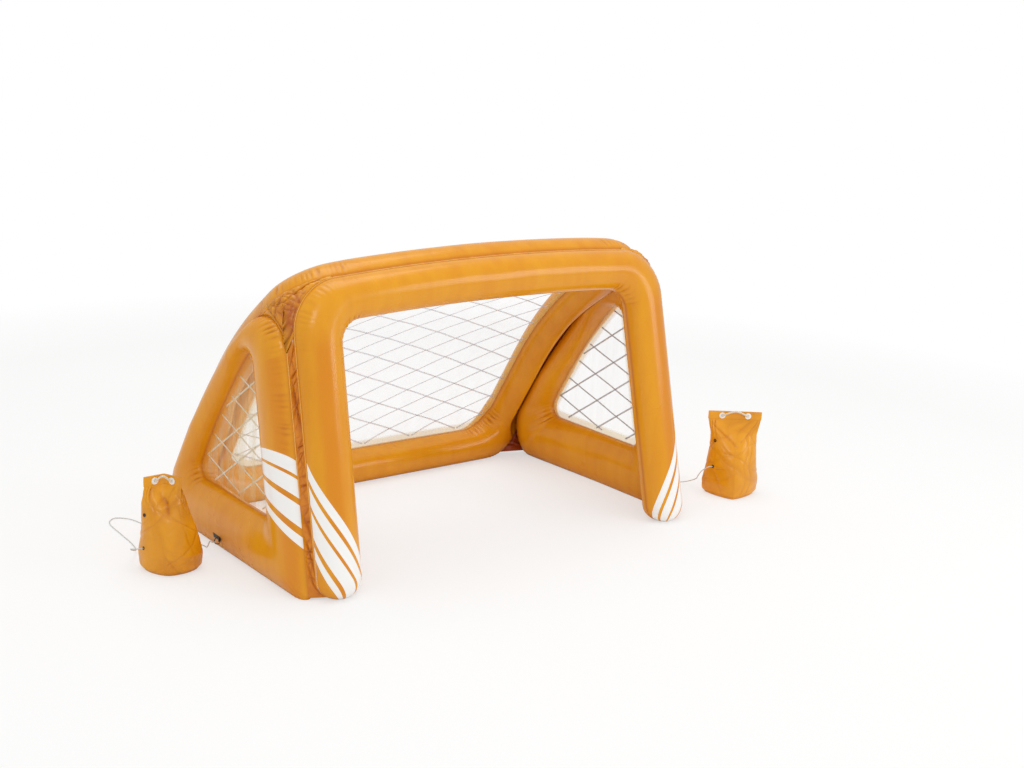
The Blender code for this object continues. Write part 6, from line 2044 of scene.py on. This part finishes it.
    def skin(self) -> Sheet:
        """The skin: outlines from the rounded base to the header, with pleats, creases and crumples."""
        header, top = self.levels[-2][0], self.levels[-1][0]
        below = np.linspace(self.end_gap, header, self.skin_rows)
        heights = np.concatenate([below, np.linspace(header, top - self.end_gap, self.header_rows)[1:]])
        points, normal = self.outline(heights, 0.0)
        x, y, z = (points[..., k] for k in range(3))
        face = np.stack([x, z], -1)
        in_front = np.clip(-y / self.front_start, 0, 1)
        body = np.clip((header - z) / self.header_fade, 0, 1) * np.clip(z / self.base_fade, 0, 1)
        depth, crease = 0 * x, 0 * x
        for fold in self.creases:
            away = segment_distance(face, fold.start, fold.end)
            depth = depth + fold.depth * (np.exp(-away / fold.width) * in_front)
            # Painted shade along the crease's line
            line = np.exp(-away / (fold.width * self.dark_share))
            crease = np.maximum(crease, fold.dark * line * in_front)
        turn = np.arange(self.around)[None] / self.around + 0 * z
        under = header - z
        throat = np.exp(-(under / self.throat_height) ** 2) * np.clip(under / self.throat_start, 0, 1)
        sway = self.pleat_sway * np.sin(z * self.pleat_sway_waves)
        pleat = valleys(turn * self.pleat_girth + sway, self.pleat_pitch, self.seed) * throat
        fine = crumple(turn * self.crumple_girth, z, self.crumple_pitch, self.seed)
        uneven = self.swell_depth * body * swell(turn * self.swell_round, z * self.swell_up, self.seed)
        depth = depth + self.pleats * pleat + self.crumple_depth * fine * body + uneven
        # Painted shade in the creases, the pleats and the crumples
        crease = np.maximum(crease, self.pleat_dark * pleat) + self.crumple_dark * fine * body
        points = self.placed(points - normal * depth[..., None])
        values = {"crease": np.clip(crease, 0, 1)}
        return Sheet(points, values, wrap_columns=True, first_pole=True, last_fold=True)

    def ballast(self) -> Sheet:
        """The water inside: the skin's outlines up to the fill, drawn in to clear the deepest crease."""
        heights = np.concatenate([self.water_base, np.linspace(self.water_start, self.fill, self.water_rows)])
        points, _ = self.outline(heights, -self.water_gap)
        return Sheet(self.placed(points), wrap_columns=True, first_pole=True, last_pole=True)

    def hem(self) -> Sheet:
        """The hem: a doubled band round the header, with two pressed lines."""
        low, high = self.levels[-2][0] + self.hem_low_gap, self.levels[-1][0] - self.hem_high_gap
        share = np.linspace(0, 1, self.hem_rows)
        pressed = self.hem_line_depth * sum(np.exp(-((share - place) / self.hem_line_width) ** 2)
                                            for place in self.hem_line_places)
        up = low + (high - low) * share
        rise = np.concatenate([up, up[::-1]])
        grow = np.concatenate([self.hem_out - pressed, np.full(len(share), self.hem_inner_out)])
        points = np.stack([self.outline(np.array([h]), g)[0][0] for h, g in zip(rise, grow)])
        none = np.zeros(points.shape[:2])
        return Sheet(self.placed(points), {"crease": none}, wrap_rows=True, wrap_columns=True)

    def handle_path(self) -> Array:
        """Centre line of the handle cord: out of one eyelet, up in a bow and into the other."""
        (left, left_way), (right, right_way) = np.array(self.eyelets)
        middle, out = (left + right) / 2, unit(left_way + right_way)
        rise = middle + out * self.bow_out + self.bow_up * UPRIGHT
        stops = [left - left_way * self.handle_in, left, left + left_way * self.handle_out, rise,
                 right + right_way * self.handle_out, right, right - right_way * self.handle_in]
        return smooth_path(stops, self.handle_points)

    def knot(self, at: Array) -> Sheet:
        """A small round knot: a ball whose radius swells along three slanted turns."""
        tall = np.linspace(self.knot_end, math.pi - self.knot_end, self.knot_rows)[:, None]
        about = (np.arange(self.knot_around) * 2 * math.pi / self.knot_around)[None]
        radius = self.knot_radius * (1 + self.knot_swell * np.sin(3 * about + 4 * tall))
        ball = [np.sin(tall) * np.cos(about), np.sin(tall) * np.sin(about), np.cos(tall) + 0 * about]
        points = at + radius[..., None] * np.stack(ball, -1)
        values = {"along": tall * self.knot_along + 0 * about, "around": about / (2 * math.pi) + 0 * tall}
        return Sheet(points, values, wrap_columns=True, first_pole=True, last_pole=True)

    def build(self, palette: Palette) -> None:
        """Makes the skin, the hem, the water and the handle cord with its knots.

        Args:
            palette: The finishes.
        """
        name, body = f"{self.side.word}_bag", self.body
        add_piece(f"{name}_shell", [self.skin()], palette.bag, Slot.BAG, body, f"{name}_skin")
        add_piece(f"{name}_header_band", [self.hem()], palette.bag, Slot.BAG, body, f"{name}_hem")
        add_piece(f"{name}_water", [self.ballast()], palette.water, Slot.WATER, body, f"{name}_ballast")
        path = self.handle_path()
        line = tube(path, self.handle_radius, self.handle_around)
        cord = add_piece(f"{name}_handle", [line], palette.handle, Slot.CORD, body, f"{name}_handle_cord")
        knots = add_piece(f"{name}_handle_knots", [self.knot(end) for end in path[[0, -1]]], palette.handle,
                          Slot.CORD, body)
        float(lengths_along(path)[-1])


@dataclass(frozen=True)
class TetherCord:
    """A thin cord from the ring under a side chamber to its bag.

    Attributes:
        side: Which side it is on.
        body: The body that carries it.
        hinge: The ring's upright axis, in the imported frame.
        route: Points on its way, in the goal's own frame.
        eyelet: Middle of the bag's lower side eyelet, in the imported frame.
        eyelet_way: Outward direction of that eyelet.
        radius: Radius of the cord.
        loop_radius: Radius of its centre line round the ring's wire.
    """

    side: Side
    body: Body
    hinge: Colour
    route: tuple[Colour, ...]
    eyelet: Colour
    eyelet_way: Colour
    radius: float = 0.0015
    loop_radius: float = 0.0062

    # From the ring's axis to the middle of its wire, the wire's radius and the cord's gap to it
    ring_reach = 0.0045 + 0.01025
    wire_radius = 0.00125
    wire_gap = 0.0003
    # The loop's first and last angle in degrees, and its points
    loop_turn, loop_points = (200, 10), 24
    # Where the cord leaves the loop: this far across and down
    leave_across, leave_down = 0.010, 0.002
    # Straight run before the eyelet, and where it ends
    eyelet_run, eyelet_end = 0.020, 0.0001
    path_points = 420
    floor_gap = 0.0004
    points_around = 10

    def path(self) -> Array:
        """The cord's centre line: round the ring's wire, along the floor and up into the eyelet."""
        forward = np.array((self.side.value, 0.0, 0.0))
        across = np.array((-forward[1], forward[0], 0.0))
        wire = np.array(self.hinge) + forward * self.ring_reach
        middle = wire + forward * (self.loop_radius - self.radius - self.wire_radius - self.wire_gap)
        turn = np.radians(np.linspace(*self.loop_turn, self.loop_points))[:, None]
        hook = middle + self.loop_radius * (np.cos(turn) * forward + np.sin(turn) * across)
        ahead = hook[-1] - across * self.leave_across - self.leave_down * UPRIGHT
        eyelet, way = np.array(self.eyelet), np.array(self.eyelet_way)
        before, end = eyelet + way * self.eyelet_run, eyelet + way * self.eyelet_end
        path = smooth_path([*hook, ahead, *(np.array(self.route) + ORIGIN), before, end], self.path_points)
        path[:, 2] = np.maximum(path[:, 2], self.radius + self.floor_gap)
        return path

    def build(self, palette: Palette) -> None:
        """Makes the cord.

        Args:
            palette: The finishes.
        """
        path = self.path()
        name = f"{self.side.word}_tether_line"
        cord = add_piece(name, [tube(path, self.radius, self.points_around)], palette.cord, Slot.CORD,
                         self.body, f"{self.side.word}_tether_cord")
        length = float(lengths_along(path)[-1])
        LOG.info("%s: %.3f m long", name, length)


LEFT_BAG = Bag(
    side=Side.LEFT, body=Body.LEFT_TETHER, place=(-0.852, 0.006), turn=math.radians(-32),
    levels=((0.000, 0.140, 0.124, 1.6, 0.0, 0.0), (0.012, 0.165, 0.148, 1.6, 0.0, 0.0),
            (0.050, 0.171, 0.150, 1.7, 0.0, 0.0), (0.110, 0.148, 0.122, 1.8, 0.0, -0.004),
            (0.152, 0.132, 0.094, 1.9, 0.005, -0.011), (0.186, 0.121, 0.062, 2.0, 0.014, -0.015),
            (0.231, 0.098, 0.004, 4.0, 0.032, -0.017), (0.259, 0.098, 0.004, 4.0, 0.032, -0.017)),
    eyelets=(((-0.92776, 0.02346, 0.245), (0.02002, -0.9998, 0.0)),
             ((-0.88704, -0.00198, 0.245), (-0.90739, -0.42029, 0.0))),
    creases=(Crease((-0.0276, 0.2211), (-0.0083, 0.1857), depth=0.0080, width=0.007, dark=1.0),
             Crease((-0.0083, 0.1857), (-0.0009, 0.1639), depth=0.0060, width=0.006, dark=0.9),
             Crease((0.0132, 0.2156), (0.0471, 0.1798)),
             Crease((0.0004, 0.0760), (0.0397, 0.0584), depth=-0.0022, width=0.003, dark=0.0),
             Crease((-0.0072, 0.0549), (0.0430, 0.0353), depth=-0.0020, width=0.003, dark=0.0),
             Crease((-0.0053, 0.0551), (0.0297, 0.0054), depth=0.0020, width=0.003),
             Crease((-0.0150, 0.1750), (0.0350, 0.1900), depth=-0.0030, width=0.004, dark=0.0)),
    pleats=0.0055, seed=2.0, fill=0.145)

RIGHT_BAG = Bag(
    side=Side.RIGHT, body=Body.RIGHT_TETHER, place=(0.935, -0.315), turn=math.radians(-36),
    levels=((0.000, 0.150, 0.150, 1.3, 0.0, 0.0), (0.012, 0.174, 0.172, 1.3, 0.0, 0.0),
            (0.043, 0.181, 0.172, 1.4, 0.0, 0.0), (0.092, 0.164, 0.150, 1.6, 0.0, 0.0),
            (0.150, 0.151, 0.108, 1.9, 0.0, 0.0), (0.195, 0.147, 0.060, 2.0, 0.0, 0.0),
            (0.241, 0.167, 0.004, 4.0, 0.0, 0.0), (0.268, 0.167, 0.004, 4.0, 0.0, 0.0)),
    eyelets=(((0.86075, -0.29549, 0.2545), (-0.58779, -0.80902, 0.0)),
             ((0.92695, -0.34359, 0.2545), (-0.58779, -0.80902, 0.0))),
    creases=(Crease((-0.0813, 0.2335), (0.0011, 0.1647), depth=0.0050, width=0.006),
             Crease((0.0780, 0.2300), (0.0180, 0.1750)),
             Crease((-0.0645, 0.1703), (-0.0780, 0.1450), depth=0.0026, width=0.003),
             Crease((-0.0315, 0.1415), (-0.0114, 0.1392), depth=0.0022),
             Crease((-0.0557, 0.0898), (-0.0350, 0.0921), depth=0.0022, width=0.003),
             Crease((-0.0620, 0.0806), (-0.0350, 0.0100), depth=0.0020),
             Crease((-0.0880, 0.0800), (-0.0840, 0.0300))),
    pleats=0.0030, seed=2.9, fill=0.150)

LEFT_CORD = TetherCord(
    side=Side.LEFT, body=Body.LEFT_TETHER, hinge=(-0.73494, 0.02803, 0.03819),
    route=(
        (-0.7150, 0.056, 0.022), (-0.708, 0.078, 0.006), (-0.7055, 0.098, 0.0022), (-0.722, 0.180, 0.0022),
        (-0.774, 0.344, 0.0022), (-0.790, 0.400, 0.0022), (-0.822, 0.428, 0.0022), (-0.852, 0.400, 0.0022),
        (-0.862, 0.300, 0.0022), (-0.868, 0.215, 0.0024), (-0.888, 0.145, 0.012), (-0.925, 0.090, 0.036),
        (-0.9465, 0.050, 0.056), (-0.9535, 0.030, 0.064)),
    eyelet=(-0.96826, 0.00646, 0.06803), eyelet_way=(-0.98537, -0.12951, 0.11076))

RIGHT_CORD = TetherCord(
    side=Side.RIGHT, body=Body.RIGHT_TETHER, hinge=(0.65264, 0.02803, 0.03819),
    route=(
        (0.718, -0.004, 0.024), (0.726, -0.030, 0.006), (0.738, -0.054, 0.0022), (0.790, -0.115, 0.0022),
        (0.842, -0.158, 0.0022), (0.866, -0.194, 0.012), (0.862, -0.236, 0.034),
        (0.845, -0.262, 0.055), (0.835, -0.283, 0.075), (0.8345, -0.296, 0.087)),
    eyelet=(0.82132, -0.31066, 0.09502), eyelet_way=(-0.99519, -0.05263, 0.08265))


def dress_kept_nodes(nodes: dict[str, bpy.types.Object], palette: Palette) -> None:
    """Gives the solids whose shape stays their finishes.

    Args:
        nodes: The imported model's nodes by name.
        palette: The finishes.
    """
    endings = (("_valve_base", palette.valve), ("_valve_stopper", palette.valve),
               ("_tether_tab", palette.black), ("_tether_ring", palette.black),
               ("_side_eyelet", palette.dark), ("_eyelet", palette.white))
    for name, node in nodes.items():
        finish = next((made for ending, made in endings if name.endswith(ending)), None)
        if finish is None:
            continue
        for slot in node.material_slots:
            slot.material = finish
        LOG.info("%s: kept, finish %s", name, finish.name)


# Floor, light and camera

def stand(thing: bpy.types.Object, right: Array, up: Array, back: Array, place: Array) -> None:
    """Puts a camera or a lamp in its place, turned to three axes."""
    bpy.context.scene.collection.objects.link(thing)
    matrix = np.eye(4)
    matrix[:3] = np.stack([right, up, back, place], 1)
    thing.matrix_world = Matrix(matrix.tolist())


@dataclass(frozen=True)
class Studio:
    """A pale floor, soft light and the camera of the photograph.

    Attributes:
        camera_turn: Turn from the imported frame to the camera's right, down and forward axes.
        camera_place: The camera's place in the goal's own frame.
        focal_pixels: Focal length in pixels of the photograph.
        picture_width: Width of the photograph in pixels.
        world_light: Strength of the even light from all round.
        floor_half: Half the width of the floor.
        floor_glow: Least share of plain white in what the camera sees of the floor.
        floor_white: Distances from the middle at which that share begins to grow and is full.
        lamps: Name, place, width and power of each lamp.
    """

    camera_turn: Colour = (1.77245, -0.57049, 0.50087)
    camera_place: Colour = (-2.63873, -3.68775, 1.62595)
    focal_pixels: float = 1598.28
    picture_width: float = 1024.0
    world_light: float = 0.71
    floor_half: float = 12.0
    floor_glow: float = 0.55
    floor_white: tuple[float, float] = (1.25, 3.2)
    lamps: tuple[tuple[str, Colour, float, float], ...] = (
        ("key_lamp", (-2.6, -3.2, 3.4), 1.3, 24.0),
        ("fill_lamp", (2.6, -3.4, 1.6), 1.6, 26.0),
        ("top_lamp", (0.2, 0.4, 4.6), 3.2, 62.0))

    sensor_width = 36.0
    # Farther than any corner of the floor
    far_clip = 60.0

    def camera(self) -> None:
        """The camera, level with the photograph's."""
        data = bpy.data.cameras.new("camera")
        data.sensor_width = self.sensor_width
        data.lens = self.focal_pixels / self.picture_width * self.sensor_width
        data.clip_end = self.far_clip
        turn = np.array(self.camera_turn)
        axes = np.array(Matrix.Rotation(float(np.linalg.norm(turn)), 3, unit(turn).tolist()))
        camera = bpy.data.objects.new("camera", data)
        stand(camera, axes[0], -axes[1], -axes[2], np.array(self.camera_place) + ORIGIN)
        bpy.context.scene.camera = camera

    def lamp(self, name: str, place: Colour, size: float, power: float) -> None:
        """A square soft lamp that shines at the goal's middle."""
        data = bpy.data.lights.new(name, "AREA")
        data.size = size
        data.energy = power
        back = unit(np.array(place) - MIDDLE)
        right = unit(np.cross(UPRIGHT, back))
        stand(bpy.data.objects.new(name, data), right, np.cross(back, right), back, np.array(place))

    def world(self) -> None:
        """Even light, and plain white where the camera sees past the floor."""
        world = bpy.data.worlds.new("studio")
        bpy.context.scene.world = world
        world.use_nodes = True
        tree = world.node_tree
        seen = tree.nodes.new("ShaderNodeLightPath")
        both = tree.nodes.new("ShaderNodeMath")
        both.operation = "MAXIMUM"
        tree.links.new(seen.outputs["Is Camera Ray"], both.inputs[0])
        tree.links.new(seen.outputs["Is Transmission Ray"], both.inputs[1])
        light, white = tree.nodes["Background"], tree.nodes.new("ShaderNodeBackground")
        light.inputs["Strength"].default_value = self.world_light
        light.inputs["Color"].default_value = (1.0, 0.995, 0.985, 1.0)
        white.inputs["Color"].default_value = (1.0, 1.0, 1.0, 1.0)
        mix = tree.nodes.new("ShaderNodeMixShader")
        tree.links.new(both.outputs[0], mix.inputs[0])
        tree.links.new(light.outputs[0], mix.inputs[1])
        tree.links.new(white.outputs[0], mix.inputs[2])
        tree.links.new(mix.outputs[0], tree.nodes["World Output"].inputs["Surface"])

    def floor(self) -> None:
        """A pale floor that turns into plain white far from the goal."""
        half = self.floor_half
        corners = np.array([[(x, y, 0.0) for x in (-half, half)] for y in (-half, half)])
        floor = mesh_piece("studio_floor", [Sheet(corners)])
        recipe = Recipe("studio_floor_finish")
        away = recipe.node("ShaderNodeVectorMath", operation="LENGTH")
        recipe.link(recipe.place, away.inputs[0])
        far = recipe.ranged(away.outputs["Value"], *self.floor_white, 0.0, 1.0)
        seen = recipe.node("ShaderNodeLightPath").outputs["Is Camera Ray"]
        glow = recipe.sum_of("MULTIPLY", recipe.sum_of("MAXIMUM", far, self.floor_glow), seen)
        faint = recipe.noise(recipe.place, scale=2.0, detail=2.0)
        recipe.settle(Base_Color=recipe.mixed(faint, (0.93, 0.93, 0.93), (0.95, 0.95, 0.95)), Roughness=0.8,
                      Specular_IOR_Level=0.1)
        white = recipe.node("ShaderNodeEmission")
        white.inputs["Strength"].default_value = 1.0
        mix = recipe.node("ShaderNodeMixShader")
        recipe.link(glow, mix.inputs[0])
        recipe.link(recipe.shader.outputs[0], mix.inputs[1])
        recipe.link(white.outputs[0], mix.inputs[2])
        recipe.link(mix.outputs[0], recipe.tree.nodes["Material Output"].inputs["Surface"])
        floor.data.materials.append(recipe.material)

    def build(self) -> None:
        """Makes the camera, the lamps, the world and the floor."""
        self.camera()
        for lamp in self.lamps:
            self.lamp(*lamp)
        self.world()
        self.floor()
        bpy.context.scene.view_settings.view_transform = "Standard"


def main() -> None:
    """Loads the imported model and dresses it."""
    logging.basicConfig(level=logging.INFO, format="%(message)s")
    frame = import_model()
    Studio().build()
    palette = Palette()
    for cord in (LEFT_CORD, RIGHT_CORD):
        cord.build(palette)
    panels = GoalPanels(GoalShape(GoalSizes()))
    Chambers(panels, palette).build()
    Webs(panels, palette).build()
    Windows(panels, palette).build()
    for bag in (LEFT_BAG, RIGHT_BAG):
        bag.build(palette)
    dress_kept_nodes(frame["nodes"], palette)


if __name__ == "__main__":
    main()
